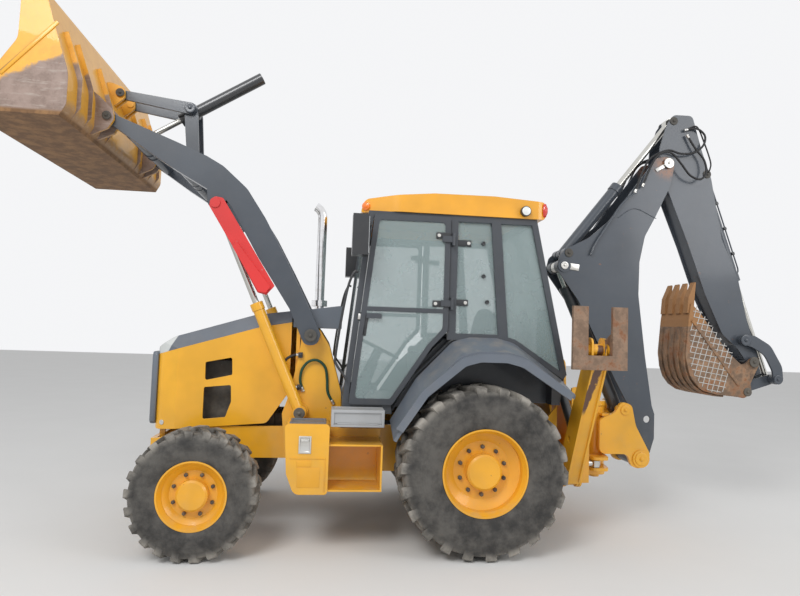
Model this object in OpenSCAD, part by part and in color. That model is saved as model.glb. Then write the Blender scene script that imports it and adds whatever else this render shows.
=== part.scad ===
// Backhoe loader: loader raised and level, backhoe folded for travel, stabilizers up.
// X runs to the rear, Y to the right side, Z up. The ground is z = 0.

/* [Wheels] */
// Distance between the front and rear axles
wheelbase = 2134; // [2080:1:2180]
// Outer radius of a front tyre, to the lug tips
front_tyre_r = 470; // [450:1:485]
// Width of a front tyre
front_tyre_w = 312; // [290:1:320]
// Distance between the centres of the front tyres
front_track = 1776; // [1760:1:1800]
// Outer radius of a rear tyre, to the lug tips
rear_tyre_r = 652; // [630:1:660]
// Width of a rear tyre
rear_tyre_w = 490; // [470:1:495]
// Distance between the centres of the rear tyres
rear_track = 1690; // [1680:1:1720]
// Radius of a front rim's lip
front_rim_r = 250; // [240:1:256]
// Radius of a rear rim's lip
rear_rim_r = 330; // [320:1:338]
// Height of a lug over the tyre's body
lug_h = 26; // [20:1:30]
// Distance from the centre of the machine to a steering kingpin
kingpin_y = 700; // [690:1:710]

/* [Frame and hood] */
// Half the width over the frame rails
frame_half_w = 400; // [380:1:410]
// Thickness of a frame rail plate
rail_t = 22; // [16:1:28]
// Half the width of the hood
hood_half_w = 424; // [422:1:430]
// Thickness of the hood's sheet, with its inner frame
hood_t = 16; // [10:1:20]

/* [Cab] */
// Half the width of the cab
cab_half_w = 735; // [730:1:742]
// Width of a cab post
post_w = 62; // [54:1:70]
// Thickness of a window pane
pane_t = 6; // [4:1:8]
// Height of the top of the roof
roof_top = 2825; // [2800:1:2850]
// Height of the cab floor's upper face
floor_z = 1100; // [1090:1:1110]

/* [Loader] */
// Distance from the centre of the machine to the middle of a loader arm
arm_y = 595; // [590:1:600]
// Width of a loader arm
arm_w = 100; // [90:1:104]
// Thickness of a loader arm's plates
arm_t = 10; // [8:1:14]
// Width of the loader bucket
bucket_w = 2336; // [2280:1:2400]
// Thickness of the loader bucket's plates
bucket_t = 16; // [12:1:20]

/* [Backhoe] */
// Distance from the rear axle to the swing post's vertical axis
swing_x = 1330; // [1328:1:1340]
// Half the width of the backhoe boom
boom_half_w = 150; // [145:1:154]
// Thickness of the boom's and dipper's plates
boom_t = 12; // [8:1:16]
// Half the width of the dipper
dipper_half_w = 100; // [92:1:102]
// Width of the backhoe bucket
hoe_w = 480; // [400:1:490]
// Thickness of the backhoe bucket's plates
hoe_t = 18; // [12:1:22]
// Width of a stabilizer leg along the machine
leg_w = 122; // [100:1:130]

/* [Fits] */
// Clearance between a pin and its bore, and between a rod and its gland
running_gap = 0.3; // [0.2:0.05:0.5]
// Side clearance between an eye and its fork
side_gap = 5; // [3:0.5:6]

/* [Hidden] */
$fn = 48;

// The rear axle lies this far behind the origin, the middle of the machine's length
rear_axle_x = 295;
front_axle_x = -wheelbase;
// How far the tyres' beads sit inside the rims' lips, and the hubs end inside the wheels' middles
rim_drop = 22;
// A tyre's wall, and a lug's reach round the tread as a share of their pitch
tyre_wall = 34;
lug_reach = 0.42;
hub_seat = 60;

// Pivots of the loader, as [x, z]: arm foot, bucket pin, lift rod pin and lift barrel pin
arm_foot = [-1352, 1638];
bucket_pin = [-2990, 3292];
lift_top = [-2140, 2660];
lift_base = [-1415, 1022];
// Tilt linkage: lever pivot, its top pin, the bucket's link pin and the tilt rod's pin
lever_pivot = [-2450, 3065];
lever_top = [-2497, 3590];
link_pin = [-3078, 3668];
tilt_rod_pin = [-2952, 3300];

// Pivots of the backhoe: boom foot and tip, the cylinders and the bucket linkage
boom_foot = [1690, 600];
dipper_pin = [1962, 3394];
boom_cyl_base = [1535, 1040];
boom_cyl_top = [941, 2361];
dipper_cyl_base = [985, 2482];
dipper_cyl_top = [2046, 3835];
bucket_cyl_base = [2395, 3330];
guide_pin = [2754, 1724];
link_b = [3095, 1355];
hoe_pin = [2865, 1517];
link_d = [2719, 1238];

// Stabilizer pivots, as [y, z] on the right side, and the legs' place along the machine
leg_x = 866;
leg_foot = [500, 500];
leg_tip = [1000, 1600];
stab_base = [150, 1420];
stab_pin = [655, 850];

// Length and direction from p to q
function span(p, q) = norm(q - p);
function heading(p, q) = atan2(q[1] - p[1], q[0] - p[0]);
function toward(p, q, d) = p + (q - p) * d / norm(q - p);
function polar(c, r, a) = c + r * [cos(a), sin(a)];

// Points of an arc about c
function arc(c, r, a0, a1, n) = [for (i = [0:n]) polar(c, r, a0 + (a1 - a0) * i / n)];

// Outline of a bar from p to q with round ends
function bar_outline(p, q, rp, rq) = let(
    a = heading(p, q),
    b = acos((rp - rq) / span(p, q)))
    concat(arc(p, rp, a + b, a + 360 - b, 10), arc(q, rq, a - b, a + b, 10));

// Rounds the corner at b, between a and c, with radius r
function round_corner(a, b, c, r, n) = let(
    u = (a - b) / norm(a - b),
    v = (c - b) / norm(c - b),
    half = acos(max(-1, min(1, u * v))) / 2,
    ctr = b + (u + v) / norm(u + v) * r / sin(half),
    s = b + u * r / tan(half) - ctr,
    e = b + v * r / tan(half) - ctr,
    a0 = atan2(s[1], s[0]),
    turn = atan2(s[0] * e[1] - s[1] * e[0], s * e))
    [for (i = [0:n]) polar(ctr, r, a0 + turn * i / n)];

// Outline from a table of [x, z, corner radius]
function outline(t, n = 5) = let(m = len(t))
    [for (i = [0:m - 1]) let(
        p = [t[(i + m - 1) % m][0], t[(i + m - 1) % m][1]],
        q = [t[i][0], t[i][1]],
        s = [t[(i + 1) % m][0], t[(i + 1) % m][1]])
        each t[i][2] > 0 ? round_corner(p, q, s, t[i][2], n) : [q]];

// Outline moved inward by d, for a wall of even thickness; t runs clockwise when d is over zero
function inset(p, d) = let(m = len(p))
    [for (i = [0:m - 1]) let(
        u = (p[i] - p[(i + m - 1) % m]) / norm(p[i] - p[(i + m - 1) % m]),
        v = (p[(i + 1) % m] - p[i]) / norm(p[(i + 1) % m] - p[i]),
        nu = [u[1], -u[0]],
        nv = [v[1], -v[0]])
        p[i] + (nu + nv) * d / (1 + nu * nv)];

module placed() {
    translate([rear_axle_x, 0, 0])
        children();
}

// A plate cut to an outline in x and z, from y0 to y1
module slab(y0, y1) {
    translate([0, y1, 0])
        rotate([90, 0, 0])
            linear_extrude(y1 - y0)
                children();
}

// The same plate on both sides of the machine
module both() {
    children();
    mirror([0, 1, 0])
        children();
}

module pin_y(p, r, y0, y1) {
    translate([p[0], y0, p[1]])
        rotate([-90, 0, 0])
            cylinder(h = y1 - y0, r = r);
}

module box(x0, x1, y0, y1, z0, z1) {
    translate([x0, y0, z0])
        cube([x1 - x0, y1 - y0, z1 - z0]);
}

// Lays what runs along +Z along the direction a, in the plane of x and z, from p
module along(p, a, y = 0) {
    translate([p[0], y, p[1]])
        rotate([0, 90 - a, 0])
            children();
}

// Cylinder barrel from its eye at p to its gland, len away: hollow, with a ring at the gland
module ram_barrel(p, a, y, len, r, rod_r, eye_r, eye_w, pin_r, back = 0) {
    wall = 9;
    difference() {
        union() {
            along(p, a, y)
                translate([0, 0, -back])
                    cylinder(h = len + back, r = r);
            along(p, a, y)
                translate([0, 0, len - 70])
                    cylinder(h = 70, r = r + 7);
            pin_y(p, eye_r, y - eye_w / 2, y + eye_w / 2);
        }
        along(p, a, y)
            translate([0, 0, eye_r + 12])
                cylinder(h = len - eye_r - 12 - 60, r = r - wall);
        along(p, a, y)
            translate([0, 0, eye_r + 12])
                cylinder(h = len, r = rod_r + running_gap);
        pin_y(p, pin_r + running_gap, y - r - eye_w, y + r + eye_w);
    }
}

// Wheels: each is drawn about its own axis with its outer side toward -y, and mirrored for the right

module on_axle(x, y, z) {
    translate([rear_axle_x + x, y, z])
        children();
}

// Turns a profile in [radius, place across] about the wheel's axis
module turned(profile) {
    rotate([-90, 0, 0])
        rotate_extrude($fn = 36)
            polygon(profile);
}

// Half the width of the rim that a tyre of this width sits on
function rim_half(w) = 0.43 * w;

// A pair of lugs: bars that slant from the middle of the tread out over the shoulders
module lug_pair(r, w, root_r, n) {
    pitch = 2 * PI * r / n;
    top = sqrt(r * r - pow(lug_reach * pitch, 2));
    for (side = [0, 1])
        mirror([0, 0, side])
            rotate([0, 0, side * 180 / n])
                translate([root_r, 0, 0])
                    rotate([90, 0, 90])
                        linear_extrude(top - root_r)
                            polygon([[-lug_reach * pitch, -0.02 * w], [-0.04 * pitch, -0.02 * w],
                                [lug_reach * pitch, 0.48 * w], [-0.02 * pitch, 0.48 * w]]);
}

// A tyre: carcass with a hollow inside, its beads seated within the rim's lips, and its lugs
module tyre(r, w, rim_r, lugs) {
    body_r = r - lug_h;
    seat_r = rim_r - rim_drop;
    side_r = 0.5 * (rim_r + body_r);
    lip = rim_half(w);
    half = [[seat_r, lip - 26.5], [rim_r + 0.5, lip - 14], [rim_r + 12, lip - 2], [side_r, 0.5 * w],
        [body_r, 0.44 * w]];
    core = [[body_r - tyre_wall, 0.5 * w - 2 * tyre_wall], [seat_r - 1, lip - 26 - tyre_wall]];
    difference() {
        union() {
            turned(concat([for (p = half) [p[0], -p[1]]], [for (i = [4:-1:0]) half[i]]));
            rotate([-90, 0, 0])
                for (i = [1:lugs])
                    rotate([0, 0, i * 360 / lugs])
                        lug_pair(r, w, body_r - 0.7 * (body_r - side_r), lugs);
        }
        turned(concat([core[1], core[0]], [for (p = core) [p[0], -p[1]]]));
    }
}

// A rim with its dish and hub: the dish is sunk in by dish_in from the lip
module rim(r, hw, dish_in, hub_r, hub_out, ring_r) {
    seat_r = r - rim_drop - running_gap;
    sheet = 14;
    dish = -hw + dish_in;
    turned([[r - 12, -hw], [r, -hw], [r, -hw + 13], [seat_r, -hw + 26], [seat_r, hw - 26], [r, hw - 13],
        [r, hw], [r - 12, hw], [seat_r - sheet, hw - 34], [seat_r - sheet, dish + 30],
        [ring_r, dish + 60], [hub_r, dish + 60], [hub_r, hub_seat - running_gap], [0, hub_seat - running_gap],
        [0, dish - hub_out], [hub_r - 16, dish - hub_out], [hub_r, dish - hub_out + 14], [hub_r, dish + 42],
        [ring_r, dish + 42], [seat_r - sheet, dish + 6], [seat_r - sheet, -hw + 40]]);
}

module front_left() { on_axle(front_axle_x, -front_track / 2, front_tyre_r) children(); }
module front_right() { on_axle(front_axle_x, front_track / 2, front_tyre_r) mirror([0, 1, 0]) children(); }
module rear_left() { on_axle(0, -rear_track / 2, rear_tyre_r) children(); }
module rear_right() { on_axle(0, rear_track / 2, rear_tyre_r) mirror([0, 1, 0]) children(); }

module front_tyre() { tyre(front_tyre_r, front_tyre_w, front_rim_r, 16); }
module rear_tyre() { tyre(rear_tyre_r, rear_tyre_w, rear_rim_r, 18); }
module front_rim() { rim(front_rim_r, rim_half(front_tyre_w), 40, 112, 34, 170); }
module rear_rim() { rim(rear_rim_r, rim_half(rear_tyre_w), 90, 134, 60, 222); }

module front_tyre_left() { color("#2b2b2b") front_left() front_tyre(); }
module front_tyre_right() { color("#2b2b2b") front_right() front_tyre(); }
module rear_tyre_left() { color("#2b2b2b") rear_left() rear_tyre(); }
module rear_tyre_right() { color("#2b2b2b") rear_right() rear_tyre(); }
module front_rim_left() { color("#e8a317") front_left() front_rim(); }
module front_rim_right() { color("#e8a317") front_right() front_rim(); }
module rear_rim_left() { color("#e8a317") rear_left() rear_rim(); }
module rear_rim_right() { color("#e8a317") rear_right() rear_rim(); }

// The steered knuckle on the left: kingpin housing and hub carrier
module knuckle() {
    hub_y = front_track / 2 - hub_seat;
    color("#e8a317")
        placed()
            translate([front_axle_x, 0, front_tyre_r])
                mirror([0, 1, 0]) {
                    for (s = [-1, 1])
                        translate([0, kingpin_y, s > 0 ? 88 : -118])
                            cylinder(h = 30, r = 58);
                    for (s = [-1, 1])
                        box(-46, 46, kingpin_y + 64, kingpin_y + 92, s > 0 ? 30 : -118, s > 0 ? 118 : -30);
                    for (s = [-1, 1])
                        box(-46, 46, kingpin_y, kingpin_y + 92, s > 0 ? 88 : -118, s > 0 ? 118 : -88);
                    translate([0, kingpin_y + 64, 0])
                        rotate([-90, 0, 0])
                            cylinder(h = hub_y - kingpin_y - 64, r = 90);
                }
}
module knuckle_left() { knuckle(); }
module knuckle_right() { mirror([0, 1, 0]) knuckle(); }

// Engine, gearbox and both axles
trunnion_r = 60;
module powertrain() {
    engine_top = 1400;
    color("#55585c")
        placed() {
            // Engine as one plain block, with the bell housing and gearbox behind it
            box(-2430, -1640, -270, 270, 640, engine_top);
            box(-1640, -1180, -230, 230, 620, 960);
            box(-1180, -330, -170, 170, 560, 860);
            // Rear axle: centre housing and trumpets to the brake drums
            difference() {
                box(-330, 200, -230, 230, 452, 860);
            }
            both() {
                translate([0, 229, rear_tyre_r])
                    rotate([-90, 0, 0])
                        cylinder(h = rear_track / 2 - 229 - hub_seat, r = 105);
                translate([0, 440, rear_tyre_r])
                    rotate([-90, 0, 0])
                        cylinder(h = 90, r = 150);
            }
            // Front axle: beam, pivot trunnion and the ends that hold the kingpins
            translate([front_axle_x, 0, front_tyre_r]) {
                box(-75, 75, -420, 420, -70, 60);
                translate([-256, 0, 0])
                    rotate([0, 90, 0])
                        cylinder(h = 460, r = trunnion_r);
                both()
                    rotate([-90, 0, 0])
                        cylinder(h = kingpin_y - 40, r = 62);
                both()
                    translate([0, kingpin_y, -88 + running_gap])
                        cylinder(h = 176 - 2 * running_gap, r = 56);
            }
        }
}

// The hood's hinge pin
hood_pin = [-2545, 826];

// Main frame: rails, cross members, loader towers, side box with battery and steps
rail = [[-2560, 620, 0], [-2560, 770, 0], [-2400, 800, 0], [-2300, 870, 0], [-1560, 880, 0], [-1500, 905, 0], [300, 905, 0], [300, 780, 40],
    [-360, 780, 60], [-420, 520, 60], [-1400, 520, 60], [-1500, 620, 60]];

// Loader tower plate, outboard of the rail and inboard of the arm
tower_y = 515;
tower = [[-1530, 700, 40], [-1560, 1000, 60], [-1500, 1180, 60], [-1440, 1500, 80], [-1420, 1690, 60],
    [-1290, 1700, 60], [-1200, 1560, 120], [-1090, 1180, 60], [-1080, 700, 40]];

side_in = arm_y + 77;
side_box = [[-1505, 985, 30], [-1172, 985, 30], [-1172, 470, 30], [-1420, 470, 60], [-1480, 620, 40]];

module main_frame() {
    color("#e8a317")
        placed() {
            both() {
                slab(frame_half_w - rail_t, frame_half_w)
                    polygon(outline(rail));
                slab(tower_y - 24, tower_y)
                    polygon(outline(tower));
                // Brackets from the rail out to the tower plate
                for (x = [-1500, -1130])
                    box(x, x + 24, frame_half_w, tower_y - 24, 700, 900);
                box(-1500, -1106, frame_half_w, tower_y - 24, 640, 664);
                // Arm foot pin and lift cylinder pin, each held by the tower plate
                pin_y(arm_foot, 38, tower_y, arm_y + arm_w / 2 + 16);
                pin_y(arm_foot, 80, tower_y, arm_y - arm_w / 2 - side_gap);
                pin_y(lift_base, 34, tower_y, arm_y + 68);
                pin_y(lift_base, 66, tower_y, arm_y - 46 - side_gap);
                pin_y(lift_base, 50, arm_y + 46 + side_gap, arm_y + 68);
            }
            // Cross members: nose plate, axle saddles, bulkhead and rear tie
            box(-2600, -2560, -frame_half_w, frame_half_w, 560, 770);
            both() {
                slab(250, 274)
                    polygon(bar_outline(hood_pin, [hood_pin[0], 745], 22, 22));
                pin_y(hood_pin, 11, 222, 250);
            }
            difference() {
                for (x = [-2360, -1960])
                    box(x - 30, x + 30, -frame_half_w + rail_t, frame_half_w - rail_t, front_tyre_r, 640);
                translate([-2600, 0, front_tyre_r])
                    rotate([0, 90, 0])
                        cylinder(h = 900, r = trunnion_r + running_gap);
            }
            box(-1470, -1440, -tower_y + 24, tower_y - 24, 970, cowl_low);
            box(240, 264, -frame_half_w + rail_t, frame_half_w - rail_t, 780, 905);
            both()
                box(-1470, -1440, frame_half_w - rail_t, frame_half_w, 900, 980);
            // Side boxes: left holds the battery, right holds the tank, with two steps behind each
            both() {
                difference() {
                    slab(side_in, 960)
                        polygon(outline(side_box));
                    slab(side_in - 20, 960 - 12)
                        polygon(inset(outline(side_box), 12));
                }
                box(-1350, -1330, tower_y, side_in + 40, 474, 860);
                box(-1172, -770, 560, 930, 820, 834);
                box(-1172, -780, 640, 950, 490, 504);
                slab(560, 574)
                    polygon([[-1172, 470], [-1172, 900], [-760, 900], [-780, 470]]);
                box(-784, -770, 574, 950, 490, 834);
            }
        }
}

// Backhoe frame: side plates, stabilizer housings, swing barrels and the swing hinge lugs
swing_ram_y = 215;
swing_ram_z = 560;
swing_rod_r = 30;
swing_eye_x = swing_x - 90;
lug_top = 1110;
lug_low = 430;
lug_t = 45;
frame_end_x = swing_x - 230;
post_plate = 20;

module backhoe_frame() {
    color("#e8a317")
        placed()
            difference() {
                backhoe_frame_plates();
                both()
                    translate([580, swing_ram_y, swing_ram_z])
                        rotate([0, 90, 0])
                            cylinder(h = 800, r = swing_rod_r + running_gap);
            }
}

module backhoe_frame_plates() {
    inner = frame_half_w - rail_t;
    // Side plates from the rails to the swing hinge
    both()
        difference() {
            slab(inner, frame_half_w)
                polygon(outline([[300, 905, 0], [300, 780, 0], [420, 500, 60], [700, 420, 60], [frame_end_x, 430, 0],
                [frame_end_x, 1180, 0], [960, 1280, 60], [640, 905, 80]]));
            box(leg_x - leg_w / 2 - side_gap, leg_x + leg_w / 2 + side_gap, inner - 1, frame_half_w + 1, 700, 1400);
        }
    // Plates before and behind the stabilizer legs
    for (x = [leg_x - leg_w / 2 - side_gap - post_plate, leg_x + leg_w / 2 + side_gap])
        translate([x, 0, 0])
            rotate([90, 0, 90])
                linear_extrude(post_plate)
                    polygon(outline([[-600, 430, 70], [-600, 590, 70], [-inner, 800, 60], [-230, 1180, 40],
                        [-200, 1490, 60], [200, 1490, 60], [230, 1180, 40], [inner, 800, 60], [600, 590, 70],
                        [600, 430, 70]]));
    // Pins of the legs and of the stabilizer cylinders
    both()
        for (pin = [[leg_foot, 30], [stab_base, 24]])
            translate([leg_x - leg_w / 2 - side_gap, pin[0][0], pin[0][1]])
                rotate([0, 90, 0])
                    cylinder(h = leg_w + 2 * side_gap, r = pin[1]);
    // Hinge lugs for the swing post, with the plate that carries them
    difference() {
        for (z = [lug_low, lug_top - lug_t]) {
            translate([swing_x, 0, z])
                cylinder(h = lug_t, r = 95);
            box(frame_end_x, swing_x, -95, 95, z, z + lug_t);
        }
        translate([swing_x, 0, lug_low - 1])
            cylinder(h = lug_top, r = 45 + running_gap);
    }
    box(frame_end_x - 30, frame_end_x, -frame_half_w, frame_half_w, 640, 1180);
    box(frame_end_x - 30, frame_end_x, -frame_half_w, frame_half_w, 430, lug_low + lug_t);
    // Swing cylinder barrels
    both()
        translate([560, swing_ram_y, swing_ram_z])
            rotate([0, 90, 0])
                cylinder(h = 450, r = 62);
}

module swing_rod() {
    color("#c9ccd0")
        placed() {
            translate([800, -swing_ram_y, swing_ram_z])
                rotate([0, 90, 0])
                    cylinder(h = swing_eye_x - 800, r = swing_rod_r);
            translate([swing_eye_x, -swing_ram_y, swing_ram_z - 28])
                cylinder(h = 56, r = 46);
        }
}
module swing_rod_left() { swing_rod(); }
module swing_rod_right() { mirror([0, 1, 0]) swing_rod(); }

// Swing post: hinge barrel, cheeks for the boom foot and the boom cylinder, and swing lugs
cheek_in = boom_half_w + side_gap + 5;
cheek_t = 34;
module swing_post() {
    color("#e8a317")
        placed() {
            translate([swing_x, 0, lug_low + lug_t + side_gap])
                cylinder(h = lug_top - lug_low - 2 * lug_t - 2 * side_gap, r = 88);
            translate([swing_x, 0, lug_low - 30])
                cylinder(h = lug_top - lug_low + 60, r = 45);
            both() {
                slab(cheek_in, cheek_in + cheek_t)
                    polygon(outline([[swing_x - 40, 950, 40], [1440, 1020, 60], [1500, 1120, 50], [1600, 1090, 60],
                        [1640, 900, 200], [1795, 620, 90], [1700, 500, 90], [1600, 530, 60], [1560, 640, 60],
                        [swing_x - 40, 640, 60]]));
                pin_y(boom_foot, 80, cheek_in, cheek_in + cheek_t + 14);
            }
            for (z = [640, 820, 980])
                box(swing_x, 1420, -cheek_in, cheek_in, z, z + 22);
            pin_y(boom_foot, 42, -cheek_in, cheek_in);
            pin_y(boom_cyl_base, 34, -cheek_in, cheek_in);
            // Lugs over and under the swing rods' eyes
            both()
                for (z = [swing_ram_z - 62, swing_ram_z + 34])
                    translate([0, 0, z])
                        linear_extrude(28)
                            polygon(outline([[swing_eye_x - 50, swing_ram_y - 60, 40],
                                [swing_eye_x - 50, swing_ram_y + 50, 50], [swing_x + 20, swing_ram_y + 50, 40],
                                [swing_x + 60, 80, 0], [swing_x - 40, 80, 0]]));
        }
}

// Stabilizer on the left: leg, pad and cylinder, all in the plane across the machine

// Plate in y and z, from x0 to x1, for the left side
module cross_slab(x0, x1) {
    translate([x0, 0, 0])
        mirror([0, 1, 0])
            rotate([90, 0, 90])
                linear_extrude(x1 - x0)
                    children();
}

module pin_x(p, r, x0, x1) {
    translate([x0, -p[0], p[1]])
        rotate([0, 90, 0])
            cylinder(h = x1 - x0, r = r);
}

leg_x0 = leg_x - leg_w / 2;
leg_x1 = leg_x + leg_w / 2;
leg_side = 16;
pad_face = 1118;

module stabilizer_leg() {
    color("#e8a317")
        placed()
            difference() {
                union() {
                    // Box leg: two side plates, an outer plate and an inner plate
                    for (x = [leg_x0, leg_x1 - leg_side])
                        cross_slab(x, x + leg_side)
                            polygon(outline([[440, 450, 50], [560, 430, 60], [640, 520, 60], [1070, 1450, 30],
                                [1070, 1690, 40], [960, 1700, 50], [900, 1500, 60], [430, 560, 60]]));
                    cross_slab(leg_x0, leg_x1)
                        polygon([[578, 460], [600, 470], [1070, 1480], [1050, 1490]]);
                    cross_slab(leg_x0, leg_x1)
                        polygon([[760, 1190], [774, 1184], [940, 1540], [926, 1546]]);
                    pin_x(leg_foot, 62, leg_x0, leg_x1);
                    pin_x(leg_tip, 48, leg_x0 - 64, leg_x1 + 64);
                }
                pin_x(leg_foot, 30 + running_gap, leg_x0 - 1, leg_x1 + 1);
                pin_x(stab_pin, 26, leg_x0 - 1, leg_x1 + 1);
            }
}

module stabilizer_pad() {
    color("#7d5236")
        placed() {
            // Two cleats, the bar that joins them, and ears on the leg's pin
            for (x = [leg_x0 - 170, leg_x1 + 24])
                cross_slab(x, x + 120)
                    polygon([[1084, 1450], [pad_face, 1450], [pad_face, 1935], [1084, 1935]]);
            cross_slab(leg_x0 - 170, leg_x1 + 144)
                polygon([[1084, 1450], [pad_face, 1450], [pad_face, 1560], [1084, 1560]]);
            difference() {
                for (x = [leg_x0 - 60, leg_x1 + 34])
                    cross_slab(x, x + 26)
                        polygon(outline([[940, 1540, 40], [1084, 1470, 0], [1084, 1740, 0], [940, 1670, 40]]));
                pin_x(leg_tip, 48 + running_gap, leg_x0 - 200, leg_x1 + 200);
            }
        }
}

// Lays what runs along +Z from p toward a, in the plane across the machine, on the left side
module across(p, a) {
    translate([leg_x, -p[0], p[1]])
        rotate([90 - a, 0, 0])
            children();
}

stab_len = 655;
stab_rod_r = 22;
module stabilizer_barrel() {
    a = heading(stab_base, stab_pin);
    color("#26292c")
        placed()
            difference() {
                union() {
                    across(stab_base, a)
                        cylinder(h = stab_len, r = 40);
                    pin_x(stab_base, 44, leg_x - 45, leg_x + 45);
                }
                pin_x(stab_base, 24 + running_gap, leg_x - 50, leg_x + 50);
                across(stab_base, a)
                    translate([0, 0, 55])
                        cylinder(h = stab_len, r = stab_rod_r + running_gap);
            }
}

module stabilizer_rod() {
    a = heading(stab_base, stab_pin);
    color("#c9ccd0")
        placed() {
            across(stab_pin, a + 180)
                cylinder(h = span(stab_base, stab_pin) - 70, r = stab_rod_r);
            pin_x(stab_pin, 38, leg_x - 38, leg_x + 38);
        }
}
module stabilizer_leg_left() { stabilizer_leg(); }
module stabilizer_leg_right() { mirror([0, 1, 0]) stabilizer_leg(); }
module stabilizer_pad_left() { stabilizer_pad(); }
module stabilizer_pad_right() { mirror([0, 1, 0]) stabilizer_pad(); }
module stabilizer_barrel_left() { stabilizer_barrel(); }
module stabilizer_barrel_right() { mirror([0, 1, 0]) stabilizer_barrel(); }
module stabilizer_rod_left() { stabilizer_rod(); }
module stabilizer_rod_right() { mirror([0, 1, 0]) stabilizer_rod(); }

// Loader boom: hollow arms, cross tubes, and brackets for the tilt linkage and the lift rods
arm = [[-3030, 3318, 22], [-3000, 3338, 34], [-2454, 3128, 0], [-2226, 3034, 0], [-2095, 2962, 200],
    [-1900, 2790, 200], [-1750, 2565, 0], [-1567, 2234, 0], [-1367, 1852, 0], [-1272, 1650, 60],
    [-1300, 1560, 60], [-1400, 1560, 60], [-1530, 1846, 0], [-1790, 2243, 0], [-2020, 2640, 50],
    [-2080, 2712, 60], [-2176, 2752, 0], [-2454, 2906, 0], [-2634, 3015, 0], [-2980, 3246, 0],
    [-3026, 3262, 26]];
arm_in = arm_y - arm_w / 2;
arm_out = arm_y + arm_w / 2;
tube_r = 50;
lever_tube = [-2432, 2958];
front_tube = [-2840, 3205];
lever_half = 92;

module loader_arm() {
    difference() {
        union() {
            slab(arm_in, arm_out)
                difference() {
                    polygon(outline(arm));
                    polygon(inset(outline(arm), arm_t));
                }
            for (y = [arm_in, arm_out - arm_t])
                slab(y, y + arm_t)
                    polygon(outline(arm));
            pin_y(arm_foot, 66, arm_in, arm_out);
            pin_y(bucket_pin, 36, arm_in, arm_out);
            // Ear for the lift rod, under the arm's knee
            for (y = [arm_in, arm_out - 22])
                slab(y, y + 22)
                    polygon(outline([[-2215, 2772, 0], [-2200, 2640, 50], [-2130, 2600, 55], [-2060, 2690, 0],
                        [-2120, 2760, 0]]));
        }
        pin_y(arm_foot, 38 + running_gap, arm_in - 1, arm_out + 1);
        pin_y(bucket_pin, 25 + running_gap, arm_in - 1, arm_out + 1);
        pin_y(lift_top, 30 + running_gap, arm_in - 1, arm_out + 1);
        // Drain hole
        pin_y([-1480, 1900], 12, arm_in - 1, arm_in + arm_t + 1);
    }
}

module loader_boom() {
    color("#3b4046")
        placed() {
            both()
                loader_arm();
            // Cross tubes under the lever and behind the bucket
            pin_y(lever_tube, tube_r, -arm_in, arm_in);
            pin_y(front_tube, 48, -arm_in, arm_in);
            // Ears on the tubes for the lever's pin and the tilt rod's pin
            both() {
                slab(lever_half - 34, lever_half - 8)
                    polygon(bar_outline(lever_pivot, lever_tube, 46, 54));
                slab(44, 66)
                    polygon(bar_outline(tilt_rod_pin, front_tube, 44, 56));
            }
            pin_y(lever_pivot, 28, -lever_half - 30, lever_half + 30);
        }
}

// Red service lock, stowed along the left arm: a channel on the lift rod's pin
module boom_lock() {
    color("#c8202a")
        placed() {
            slab(-arm_out - 26, -arm_out - 18)
                polygon(outline([[-2190, 2640, 30], [-2150, 2712, 30], [-2080, 2700, 20], [-1650, 2020, 10],
                    [-1712, 1946, 10], [-1780, 1962, 20], [-1985, 2312, 0]]));
            slab(-arm_out - 60, -arm_out - 52)
                polygon(outline([[-1985, 2312, 0], [-1960, 2360, 0], [-1680, 2010, 10], [-1712, 1960, 10],
                    [-1770, 1968, 10]]));
            slab(-arm_out - 56, -arm_out - 22)
                polygon([[-1960, 2356], [-1690, 2018], [-1696, 2012], [-1966, 2350]]);
            pin_y(lift_top, 40, -arm_out - 36, -arm_out - 0.3);
        }
}

// Loader bucket: floor, curved back, side plates, hinge ears and cutting edge
heel_z = 3106;
lip_x = -3740;
bucket_side = [[lip_x, heel_z, 0], [-3125, heel_z, 0], [-3080, 3190, 80], [-3080, 3413, 300], [-3190, 3743, 0],
    [-3262, 3985, 20], [-3420, 3985, 30], [-3425, 3630, 120], [-3720, 3170, 0]];
bucket_back = [[lip_x, heel_z, 0], [-3125, heel_z, 0], [-3080, 3190, 80], [-3080, 3413, 300], [-3190, 3743, 0],
    [-3262, 3985, 0], [-3262 - bucket_t, 3981, 0], [-3190 - bucket_t, 3739, 0],
    [-3080 - bucket_t, 3410, 284], [-3080 - bucket_t, 3195, 64], [-3134, heel_z + bucket_t, 0],
    [lip_x + 30, heel_z + bucket_t, 0]];
ear_t = 26;
bucket_hollow = [[lip_x, heel_z + bucket_t, 0], [-3134, heel_z + bucket_t, 0], [-3080 - bucket_t, 3195, 64],
    [-3080 - bucket_t, 3410, 284], [-3190 - bucket_t, 3739, 0], [-3262 - bucket_t, 3981, 0], [lip_x, 3981, 0]];

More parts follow.
